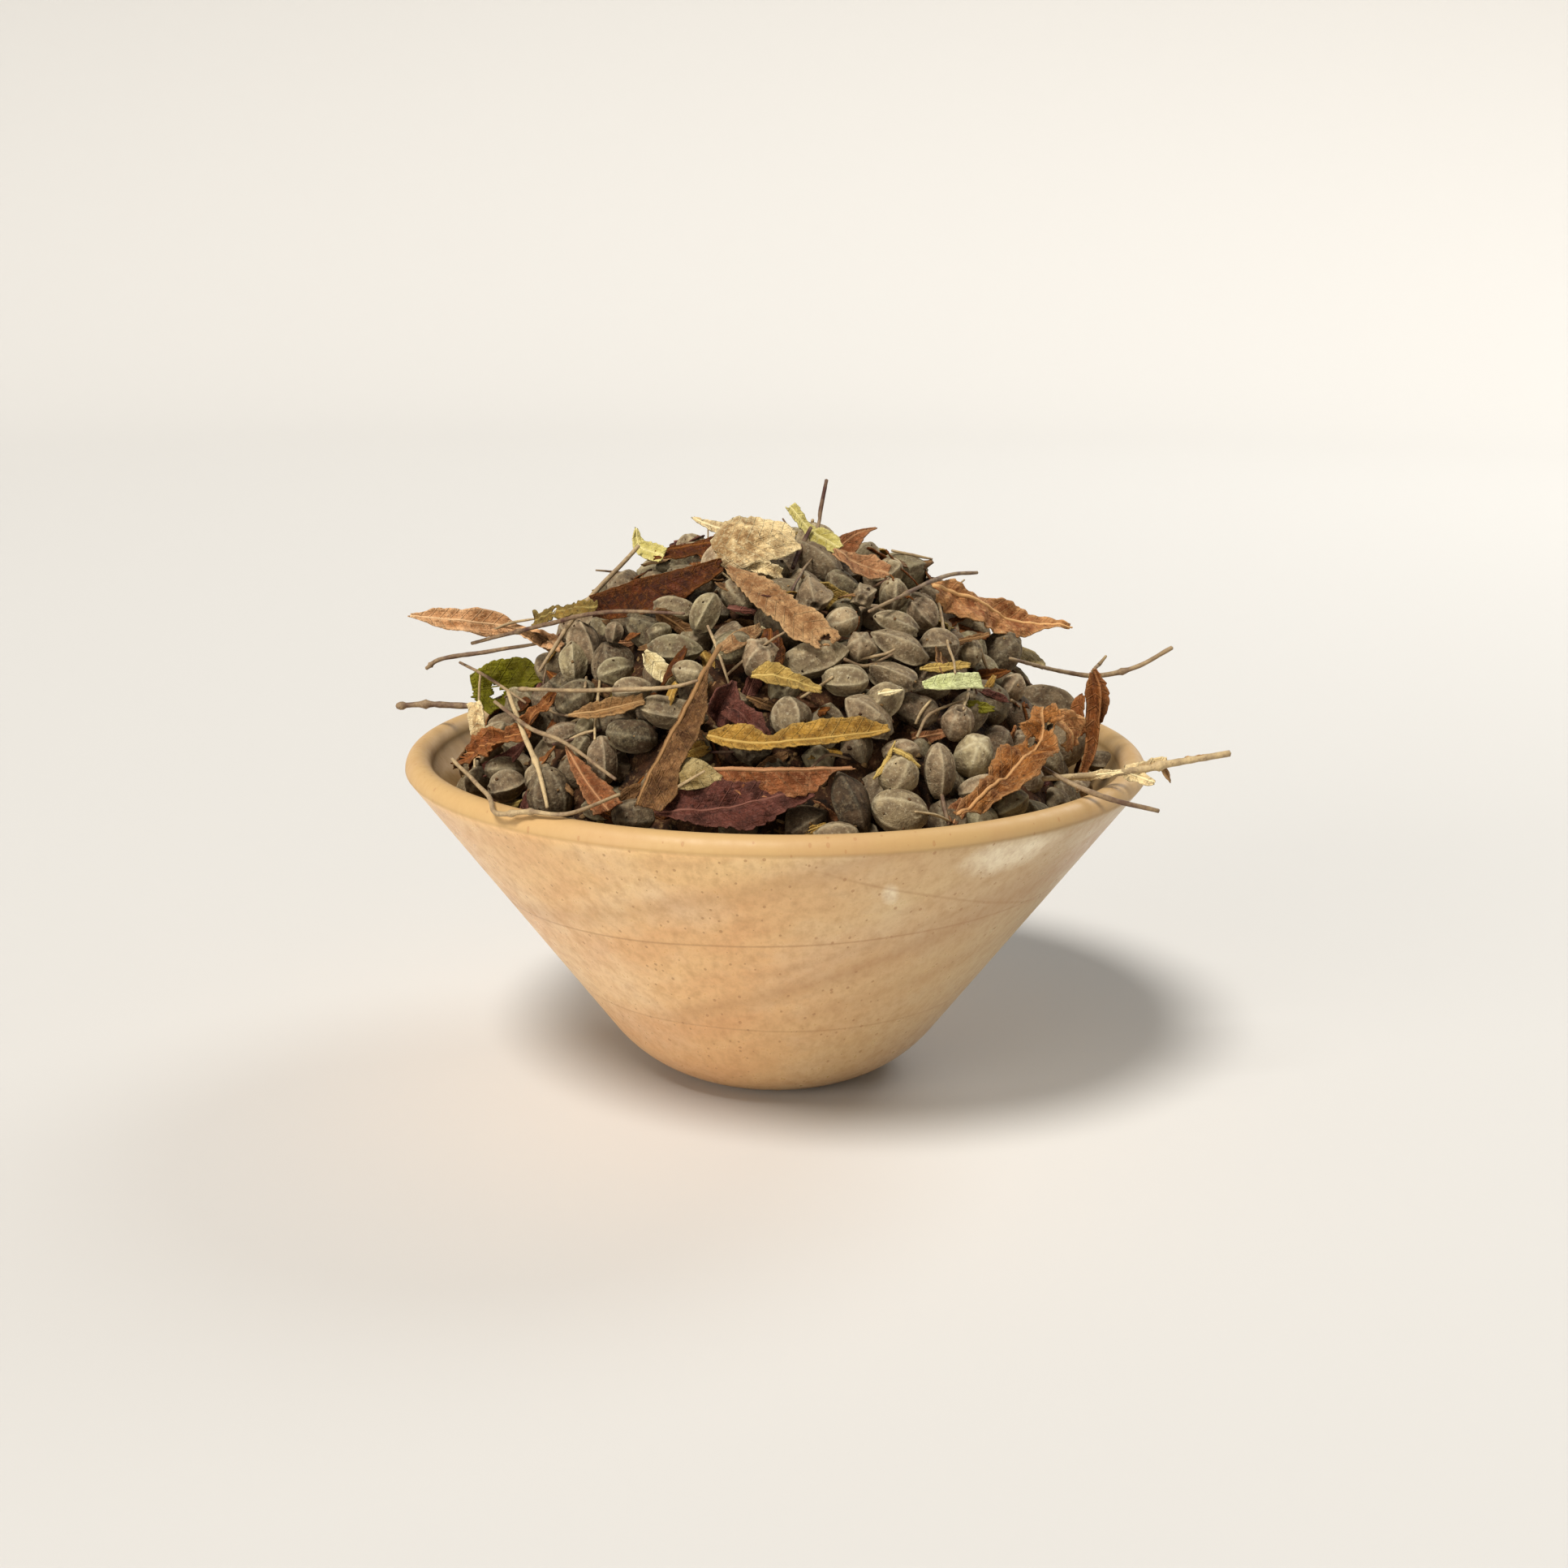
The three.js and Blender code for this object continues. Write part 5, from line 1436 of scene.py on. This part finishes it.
def slope_arc(start, radius, from_slope, to_slope, steps):
    """Points (radius, height) of an arc between two slopes."""
    slopes = from_slope + (to_slope - from_slope) * np.arange(1, steps + 1) / steps
    return [
        (start[0] + radius * (math.sin(s) - math.sin(from_slope)),
         start[1] + radius * (math.cos(from_slope) - math.cos(s)))
        for s in slopes
    ]


def straight(start, end, steps):
    """Points of a straight line, without its start."""
    return [tuple(np.array(start) + (np.array(end) - start) * i / steps) for i in range(1, steps + 1)]


def bowl_profile():
    """Half section of the bowl, from the middle of the foot round the lip to the middle inside."""
    foot = (FOOT_RADIUS, 0.0)
    edge = slope_arc(foot, FOOT_EDGE_RADIUS, 0, FOOT_EDGE_SLOPE, 5)
    lip = (RIM_RADIUS, LIP_BASE_HEIGHT)
    run, rise = lip[0] - edge[-1][0], lip[1] - edge[-1][1]
    arc_run = math.sin(WALL_SLOPE) - math.sin(FOOT_EDGE_SLOPE)
    arc_rise = math.cos(FOOT_EDGE_SLOPE) - math.cos(WALL_SLOPE)
    belly_radius = (run - rise * SIDE_LEAN) / (arc_run - arc_rise * SIDE_LEAN)
    belly = slope_arc(edge[-1], belly_radius, FOOT_EDGE_SLOPE, WALL_SLOPE, 14)
    side = straight(belly[-1], lip, 24)
    lip_middle = RIM_RADIUS - LIP_HALF_WIDTH
    rim = [
        (lip_middle + LIP_HALF_WIDTH * math.cos(t), LIP_BASE_HEIGHT + LIP_RISE * math.sin(t))
        for t in np.linspace(0, math.pi, LIP_STEPS + 1)[1:]
    ]
    inner = slope_arc((0.0, FLOOR_THICKNESS), BELLY_INNER_RADIUS, 0, WALL_SLOPE, 8)
    floor_radius = wall_radius(inner[-1][1]) - inner[-1][0]
    inner = [(floor_radius + r, z) for r, z in inner]
    wall = straight(inner[-1], (INNER_RIM_RADIUS, LIP_BASE_HEIGHT), 20)[:-1]
    below = [(FOOT_RADIUS * k / 4, 0.0) for k in (1, 2, 3)]
    return [(0.0, 0.0), *below, foot, *edge, *belly, *side, *rim, *reversed(wall), *reversed(inner),
            (floor_radius, FLOOR_THICKNESS), (0.0, FLOOR_THICKNESS)]


class LINDEN_OT_bowl(bpy.types.Operator):
    """Turn the wooden bowl."""

    bl_idname = "linden.bowl"
    bl_label = "Turn the bowl"

    def execute(self, context):
        sides = context.scene.linden_bowl.bowl_sides
        profile = np.array(bowl_profile())
        turn = 2 * math.pi * np.arange(sides) / sides
        ring = profile[1:-1]
        points = turned(ring[:, 0], ring[:, 1], turn)
        points = np.vstack(((0, 0, profile[0][1]), points, (0, 0, profile[-1][1])))
        gathering = Gathering()
        # Points of the inside wall, where the wood material paints shade.
        inside = np.arange(len(ring)) > np.argmax(ring[:, 1]) + LIP_STEPS // 2 - 2
        inside = np.concatenate(([0], np.repeat(inside, sides), [1])).astype(float)
        gathering.add(points, ball_faces(len(profile) - 1, sides), inside=inside)
        bowl = gathering.piece("bowl_turned", wood_material(context.scene.linden_look))
        settle(bowl, "bowl_wood", "bowl")
        return {"FINISHED"}


# ---- Fruits and core ----


# A fruit in mm with its axes, and sink, the way that it moves to get clear of a leaf.
LaidFruit = namedtuple("LaidFruit", "centre axes length width form tone sink seed")


def mean_radius(fruit):
    """Mean radius in mm of a laid fruit."""
    return (fruit.length + fruit.width) / 4


def named_fruits(depth):
    """The fruits of the photograph, laid by its pixels."""
    placed = []
    for index, fruit in enumerate(FRUITS.values()):
        width = fruit.width * pixel_size(seat(fruit.at, 0.0))
        centre = seat(fruit.at, -depth * width / FRUIT_WIDTH)
        scale = pixel_size(centre)
        tip = picture_way(math.radians(fruit.turn), math.radians(fruit.lean))
        placed.append(LaidFruit(
            centre, axes_from(tip, math.radians(fruit.roll)), fruit.length * scale,
            fruit.width * scale, fruit.form, fruit.tone, sight(fruit.at), 1000 + index,
        ))
    return placed


def strewn_fruits(rng, settings, placed):
    """Fruits that fill the rest of the surface and the layer below it, clear of those placed; those
    facing the camera are darker, as painted shade.
    """
    centres = [fruit.centre for fruit in placed]
    radii = [mean_radius(fruit) for fruit in placed]
    mean = settings.fruit_width / MM
    strewn = []
    for layer, base in enumerate((settings.seat_depth / MM, 7.5)):
        for i, point, normal in spread(settings.layer_count, HEAP_RADIUS, layer, 0.46):
            width = mean * rng.uniform(0.78, 1.14)
            length = width * rng.uniform(1.02, 1.38)
            shown = faces_camera(point)
            extra = rng.uniform(1.8, 4.2) if layer == 0 and shown else rng.uniform(-0.6, 0.6)
            centre = point - normal * (base + extra)
            limit = wall_radius(centre[2]) - width * 0.52
            centre[:2] *= min(1.0, limit / max(np.hypot(*centre[:2]), 1e-6))
            radius = (length + width) / 4
            away = np.linalg.norm(np.array(centres) - centre, axis=1)
            if (away < 0.84 * (np.array(radii) + radius)).any():
                continue
            tip = unit(rng.normal(size=3))
            form = (ROUND, ROUND, RIBBED, RIBBED, KEELED, ANGULAR)[int(rng.integers(6))]
            # Fruits on the side that faces the camera get darker tones: painted shade in the gaps
            # between the named fruits.
            tone = rng.uniform(0.1, 0.55) if shown else rng.uniform(0.2, 0.75)
            axes = axes_from(tip, rng.uniform(0, 6))
            seed = 5000 + 1000 * layer + i
            strewn.append(LaidFruit(centre, axes, length, width, form, tone, -normal, seed))
            centres.append(centre)
            radii.append(radius)
    return strewn


def leaf_probes():
    """Points on the larger leaves that fruits keep clear of."""
    probes = []
    for shape in LEAVES.values():
        share = np.linspace(0.08, 0.92, 9)
        centre, along = curve(shape.spine, share)
        across = unit(np.cross(along, unit(np.array(shape.face, float))))
        for lane in (-0.5, 0.0, 0.5):
            probes.append(centre + lane * across * shape.width / 2)
    return np.vstack(probes)


def clear_of_leaves(fruits):
    """The same fruits, each sunk along its own way until no leaf runs through it."""
    probes = leaf_probes()
    cleared = []
    for fruit in fruits:
        step = unit(fruit.sink) * 0.4
        centre = fruit.centre
        for _ in range(12):
            if np.linalg.norm(probes - centre, axis=1).min() > mean_radius(fruit) * 0.92:
                break
            centre = centre + step
        cleared.append(fruit._replace(centre=centre))
    return cleared


class LINDEN_OT_fruits(bpy.types.Operator):
    """Lay the dried fruits: those of the photograph, and those that fill the rest of the heap."""

    bl_idname = "linden.fruits"
    bl_label = "Lay the fruits"

    def execute(self, context):
        settings = context.scene.linden_bowl
        rng = np.random.default_rng(FRUIT_SEED)
        placed = clear_of_leaves(named_fruits(settings.seat_depth / MM))
        strewn = clear_of_leaves(strewn_fruits(rng, settings, placed))
        material = fruit_material(context.scene.linden_look)
        for name, form in FORMS.items():
            gathering = Gathering()
            for fruits, rows, steps in ((placed, 30, FINE_STEPS), (strewn, 18, COARSE_STEPS)):
                for fruit in fruits:
                    if fruit.form is not form:
                        continue
                    own = np.random.default_rng(fruit.seed)
                    points, masks, faces = fruit_shape(form, fruit.length, fruit.width, own, rows, steps)
                    points = fruit.centre + points @ fruit.axes.T
                    gathering.add(points, faces, tone=fruit.tone, hue=own.uniform(), **masks)
            settle(gathering.piece(f"fruits_{name}", material), "fruit_shell", "heap")
        return {"FINISHED"}


class LINDEN_OT_core(bpy.types.Operator):
    """Make the crumbled core that fills the heap below the fruits."""

    bl_idname = "linden.core"
    bl_label = "Fill the core"

    def execute(self, context):
        depth = context.scene.linden_bowl.core_depth / MM
        sides, rings = 160, 56
        turn = 2 * math.pi * np.arange(sides) / sides
        reach = np.linspace(1.0, HEAP_RADIUS - 2.5, rings)
        x, y = np.outer(reach, np.cos(turn)), np.outer(reach, np.sin(turn))
        top = np.stack((x, y, outline_height(x, y) - depth), -1).reshape(-1, 3)
        top[:, 2] += 1.1 * ripple(top, 9.0, 3) + 0.45 * ripple(top, 3.0, 4)
        limit = wall_radius(top[:, 2]) - 0.6
        shrink = np.minimum(1.0, limit / np.hypot(top[:, 0], top[:, 1]))
        top[:, :2] *= shrink[:, None]
        low = wall_radius(CORE_FLOOR) - 1.0
        bottom = np.stack((low * np.cos(turn), low * np.sin(turn), np.full(sides, CORE_FLOOR)), -1)
        points = np.vstack(((0, 0, HEAP_HEIGHT - depth), top, bottom, (0, 0, CORE_FLOOR)))
        faces = [block[:, ::-1] for block in ball_faces(rings + 2, sides)]
        gathering = Gathering()
        gathering.add(points, faces)
        core = gathering.piece("heap_core", crumb_material(context.scene.linden_look))
        settle(core, "fruit_shell", "heap")
        return {"FINISHED"}


# ---- Leaves, stalks, scraps, twigs and crumbs ----


class LINDEN_OT_leaves(bpy.types.Operator):
    """Make each of the larger leaves, husks and bracts."""

    bl_idname = "linden.leaves"
    bl_label = "Lay the leaves"

    def execute(self, context):
        settings = context.scene.linden_bowl
        grain, thickness = settings.leaf_grain / MM, settings.leaf_thickness / MM
        materials = leaf_materials()
        for index, (name, shape) in enumerate(LEAVES.items()):
            rng = np.random.default_rng(LEAF_SEED + index)
            tone = rng.uniform(0.2, 0.8)
            gathering = Gathering()
            add_sheet(gathering, shape, rng, grain, thickness, tone)
            piece = gathering.piece(f"{name}_sheet", materials[shape.colour])
            settle(piece, LEAF_KINDS[shape.colour].slot, name.split(".")[0])
        return {"FINISHED"}


class LINDEN_OT_stalks(bpy.types.Operator):
    """Make each of the longer stalks."""

    bl_idname = "linden.stalks"
    bl_label = "Lay the stalks"

    def execute(self, context):
        material = stalk_material(context.scene.linden_look)
        for index, (name, stalk) in enumerate(STALKS.items()):
            rng = np.random.default_rng(STALK_SEED + index)
            gathering = Gathering()
            add_stalk(gathering, stalk.spine, stalk.radius, stalk.tone, stalk.knots, rng)
            settle(gathering.piece(f"{name}_bar", material), "stalk", name)
        return {"FINISHED"}


def over_bare(points):
    """Whether any of these places covers one of the bare fruits in the picture."""
    for pixel, reach in BARE_PLACES:
        across = np.cross(np.array(points) - EYE, unit(sight(pixel)))
        if (np.linalg.norm(across, axis=-1) < reach).any():
            return True
    return False


def inside_bowl(spine):
    """Whether a spine is clear of the bowl's wall, or wholly above its rim."""
    points = np.array(spine)
    wall = np.where(points[:, 2] < RIM_HEIGHT + 1, wall_radius(points[:, 2]) - 1.5, HEAP_RADIUS + 6)
    return (np.hypot(points[:, 0], points[:, 1]) < wall).all()


def scrap_shape(rng, centre, way, face, length, width, colour):
    """A small torn piece of leaf, bent along its length."""
    bend = unit(face) * length * rng.uniform(-0.14, 0.14)
    spine = [centre - way * length / 2 + bend, centre, centre + way * length / 2 + bend]
    edges = rng.uniform(0.4, 1.0, (2, 5))
    edges[:, 0] *= rng.uniform(0.1, 0.8)
    edges[:, -1] *= rng.uniform(0.05, 0.5)
    rib = rng.choice((0.0, 0.22))
    return leaf(colour, width, rng.uniform(-0.3, 0.5), face, spine, right=edges[0], left=edges[1],
                rib=rib, teeth=0.2, torn=0.45, crumple=0.3)


def placed_scrap(rng, surface, scrap):
    """Shape of a scrap of the photograph, on what its sight line meets."""
    centre, ray, outward = np.array(scrap.at), FORWARD, -FORWARD
    if len(scrap.at) == 2:
        ray = unit(sight(scrap.at))
        reach, outward = reach_of(surface, EYE, ray)
        met = reach < FARTHEST_SIGHT
        centre = EYE + ray * (reach - scrap.lift) if met else seat(scrap.at, scrap.lift)
    length, width = np.array(scrap.size) * pixel_size(centre)
    face = unit(outward * 0.5 - ray)
    way = picture_way(math.radians(scrap.turn))
    way = unit(way - (way @ face) * face)
    return scrap_shape(rng, centre, way, face, length, width, scrap.colour)


def strewn_scrap(rng, surface, point, normal):
    """Shape of a scrap that is let down on to the heap. It is smaller where the camera sees it."""
    start = point + normal * DROP_HEIGHT
    shown = faces_camera(start)
    depth, outward = reach_of(surface, start, -normal)
    depth = depth if depth < DEEPEST_DROP else 24.0
    depth += rng.uniform(-0.3, 2.4) if shown else rng.uniform(-1.0, 1.0)
    if start[2] > CREST_HEIGHT + DROP_HEIGHT and not shown:
        depth += 1.5
    centre = start - normal * depth
    face = unit(normal + outward * 0.6 + rng.normal(size=3) * (0.45 if shown else 0.15))
    way = rng.normal(size=3)
    way = unit(way - (way @ face) * face)
    length = rng.uniform(4, 11) if shown else rng.uniform(5, 14)
    width = length * rng.uniform(0.3, 0.7) if shown else rng.uniform(3, 8)
    colour = STREWN_COLOURS[int(rng.integers(len(STREWN_COLOURS)))]
    return scrap_shape(rng, centre, way, face, length, width, colour)


class LINDEN_OT_scraps(bpy.types.Operator):
    """Lay the scraps of the photograph, and strew small torn pieces of leaf over the heap."""

    bl_idname = "linden.scraps"
    bl_label = "Strew the scraps"

    def execute(self, context):
        settings = context.scene.linden_bowl
        rng = np.random.default_rng(SCRAP_SEED)
        materials = leaf_materials()
        gatherings = {kind: Gathering() for kind in LEAF_KINDS}
        thickness = settings.leaf_thickness / MM
        surface = carrier("fruits", "heap_core")
        for scrap in SCRAPS.values():
            shape = placed_scrap(rng, surface, scrap)
            add_sheet(gatherings[shape.colour], shape, rng, SCRAP_GRAIN, thickness, rng.uniform(0, 1))
        for _, point, normal in spread(settings.scrap_count, HEAP_RADIUS * 0.97, 2.0):
            shape = strewn_scrap(rng, surface, point, normal)
            if inside_bowl(shape.spine) and not over_bare(shape.spine):
                tone = rng.uniform(0.3, 1.4)
                add_sheet(gatherings[shape.colour], shape, rng, STREWN_GRAIN, thickness, tone)
        for kind, gathering in gatherings.items():
            if gathering.points:
                piece = gathering.piece(f"scraps_{kind}", materials[kind])
                settle(piece, LEAF_KINDS[kind].slot, "heap")
        return {"FINISHED"}


class LINDEN_OT_twigs(bpy.types.Operator):
    """Strew small bits of stalk over the heap."""

    bl_idname = "linden.twigs"
    bl_label = "Strew the twigs"

    def execute(self, context):
        settings = context.scene.linden_bowl
        rng = np.random.default_rng(TWIG_SEED)
        gathering = Gathering()
        surface = carrier("fruits", "heap_core", "leaf_left_green", "husk_front")
        share = np.linspace(0, 1, LINE_POINTS)
        for twig in TWIGS.values():
            pixels = picture_path(twig.path, share)
            ways = unit(np.array([sight(pixel) for pixel in pixels]))
            spine = lay_line(surface, np.tile(EYE, (LINE_POINTS, 1)), ways, share, -0.2)
            if spine is None:
                lifts = np.linspace(*twig.lifts, LINE_POINTS)
                spine = [seat(pixel, lift) for pixel, lift in zip(pixels, lifts)]
            add_stalk(gathering, spine, twig.radius, twig.tone, (), rng)
        for _, middle, normal in spread(settings.twig_count, HEAP_RADIUS * 0.92, 4.0):
            shown = faces_camera(middle)
            way = rng.normal(size=3)
            way = unit(way - (way @ normal) * normal)
            length = rng.uniform(4, 12) if shown else rng.uniform(8, 26)
            if middle[2] > CREST_HEIGHT and not shown:
                length *= 0.35
            bend = np.cross(normal, way) * rng.uniform(-0.1, 0.1) * length
            starts = middle + normal * DROP_HEIGHT + np.outer((share - 0.5) * length, way)
            starts = starts + np.outer(4 * share * (1 - share), bend)
            sink = rng.uniform(0.3, 1.8) if shown else rng.uniform(-0.3, 0.5)
            spine = lay_line(surface, starts, np.tile(-normal, (LINE_POINTS, 1)), share, sink)
            if spine is not None and inside_bowl(spine) and not (shown and over_bare(spine)):
                add_stalk(gathering, spine, rng.uniform(0.28, 0.5), rng.uniform(0, 1), (), rng)
        material = bpy.data.materials.get("Dry stalk") or stalk_material(context.scene.linden_look)
        settle(gathering.piece("twig_bits", material), "stalk", "heap")
        return {"FINISHED"}


class LINDEN_OT_crumbs(bpy.types.Operator):
    """Strew crumbs of leaf and shell in the gaps."""

    bl_idname = "linden.crumbs"
    bl_label = "Strew the crumbs"

    def execute(self, context):
        settings = context.scene.linden_bowl
        rng = np.random.default_rng(CRUMB_SEED)
        gathering = Gathering()
        surface = carrier("fruits", "heap_core")
        for _, point, normal in spread(settings.crumb_count, HEAP_RADIUS - 1, 1.0):
            start = point + normal * DROP_HEIGHT
            depth, outward = reach_of(surface, start, -normal)
            if not depth < DEEPEST_DROP:
                continue
            size = 0.25 + 0.6 * rng.uniform() ** 3 + (0.6 if depth > 24 else 0.0)
            points, _, faces = fruit_shape(CRUMB, size * 1.7, size, rng, 4, CRUMB_STEPS)
            points[:, 0] *= 0.4
            tip = unit(np.cross(outward, rng.normal(size=3)))
            axes = np.stack((outward, np.cross(tip, outward), tip), -1)
            place = start - normal * depth + outward * size * 0.1
            gathering.add(place + points @ axes.T, faces, tone=rng.uniform(0.2, 1) ** 3)
        material = bpy.data.materials["Crumbled leaf"]
        settle(gathering.piece("crumbs", material), "fruit_shell", "heap")
        return {"FINISHED"}


# ---- Stage ----


# The floor bends up into the background, in metres.
FLOOR_RADIUS = 1.6
FLOOR_BEND = 1.2
ROOM_LIGHT = 0.27

# place is in metres. size is a round area light's width in metres, or a sun's angle in radians,
# and power is in watts, or a sun's strength.
Light = namedtuple("Light", "name kind place size power colour")
LIGHTS = (
    Light("key", "SUN", (-0.5, -0.8, 1.6), math.radians(18), 3.6, (1.0, 0.98, 0.95)),
    Light("fill", "AREA", (-1.5, -1.5, 0.35), 1.4, 30.0, (1.0, 0.96, 0.9)),
    Light("back", "AREA", (1.2, 1.1, 1.4), 1.0, 16.0, (0.94, 0.98, 1.0)),
)
LIT_POINT = np.array((0.0, 0.0, 0.08))


def studio_light(light):
    """Makes a light that points at the heap."""
    data = bpy.data.lights.new(light.name, light.kind)
    data.energy, data.color = light.power, light.colour
    if light.kind == "AREA":
        data.shape, data.size = "DISK", light.size
    else:
        data.angle = light.size
    made = bpy.data.objects.new(light.name, data)
    made.location = light.place
    made.rotation_mode = "QUATERNION"
    made.rotation_quaternion = Vector(LIT_POINT - np.array(light.place)).to_track_quat("-Z", "Y")
    bpy.context.scene.collection.objects.link(made)


class LINDEN_OT_stage(bpy.types.Operator):
    """Set up the floor, the soft studio light and the camera."""

    bl_idname = "linden.stage"
    bl_label = "Set the stage"

    def execute(self, context):
        scene = context.scene
        sides = 96
        bend = np.linspace(0, math.pi / 2, 24)
        reach = np.append((0.4, 0.8), FLOOR_RADIUS + FLOOR_BEND * np.sin(bend))
        height = np.append((0.0, 0.0), FLOOR_BEND - FLOOR_BEND * np.cos(bend))
        turn = 2 * math.pi * np.arange(sides) / sides
        points = np.vstack(((0, 0, 0), turned(reach, height, turn))).tolist()
        open_bowl = ball_faces(len(reach) + 1, sides)[:2]  # without the fan that would close the top
        faces = [row for block in open_bowl for row in block.tolist()]
        mesh = bpy.data.meshes.new("floor")
        mesh.from_pydata(points, [], faces)
        mesh.flip_normals()
        mesh.shade_smooth()
        material, _, shader = new_material("Plain floor", 0.7, 0.2)
        shader.inputs["Base Color"].default_value = (*scene.linden_look.floor, 1)
        mesh.materials.append(material)
        floor = bpy.data.objects.new("floor", mesh)
        scene.collection.objects.link(floor)

        world = bpy.data.worlds.new("Soft studio")
        world.use_nodes = True
        background = world.node_tree.nodes["Background"]
        background.inputs["Color"].default_value = (*scene.linden_look.floor, 1)
        background.inputs["Strength"].default_value = ROOM_LIGHT
        scene.world = world
        for light in LIGHTS:
            studio_light(light)

        data = bpy.data.cameras.new("view")
        data.sensor_width = SENSOR_WIDTH
        data.lens = FOCAL_LENGTH * SENSOR_WIDTH / PICTURE_SIDE
        data.clip_start = 0.01
        camera = bpy.data.objects.new("view", data)
        axes = np.stack((RIGHTWARD, UPWARD, -FORWARD), -1)
        rows = [[*row, place * MM] for row, place in zip(axes, EYE)]
        camera.matrix_world = Matrix([*rows, (0, 0, 0, 1)])
        scene.collection.objects.link(camera)
        scene.camera = camera
        scene.view_settings.view_transform = "Standard"
        return {"FINISHED"}


# ---- Add-on ----

STEPS = (
    LINDEN_OT_stage,
    LINDEN_OT_bowl,
    LINDEN_OT_core,
    LINDEN_OT_fruits,
    LINDEN_OT_leaves,
    LINDEN_OT_stalks,
    LINDEN_OT_scraps,
    LINDEN_OT_twigs,
    LINDEN_OT_crumbs,
)


class LINDEN_PT_panel(bpy.types.Panel):
    """Lists the steps that build the bowl."""

    bl_label = "Linden bowl"
    bl_idname = "LINDEN_PT_panel"
    bl_space_type = "VIEW_3D"
    bl_region_type = "UI"
    bl_category = "Linden bowl"

    def draw(self, context):
        for step in STEPS:
            self.layout.operator(step.bl_idname)
        scene = context.scene
        for group in (scene.linden_bowl, scene.linden_look, scene.linden_leaf):
            box = self.layout.box()
            for key in group.__annotations__:
                box.prop(group, key)


CLASSES = (LindenBowlSettings, LindenLookSettings, LindenLeafSettings, *STEPS, LINDEN_PT_panel)


def register():
    """Registers the settings, steps and panel."""
    for made in CLASSES:
        bpy.utils.register_class(made)
    bpy.types.Scene.linden_bowl = bpy.props.PointerProperty(type=LindenBowlSettings)
    bpy.types.Scene.linden_look = bpy.props.PointerProperty(type=LindenLookSettings)
    bpy.types.Scene.linden_leaf = bpy.props.PointerProperty(type=LindenLeafSettings)


def unregister():
    """Undoes register."""
    del bpy.types.Scene.linden_leaf
    del bpy.types.Scene.linden_look
    del bpy.types.Scene.linden_bowl
    for made in reversed(CLASSES):
        bpy.utils.unregister_class(made)


def main():
    """Builds everything."""
    register()
    for step in STEPS:
        group, name = step.bl_idname.split(".")
        getattr(getattr(bpy.ops, group), name)()


if __name__ == "__main__":
    main()
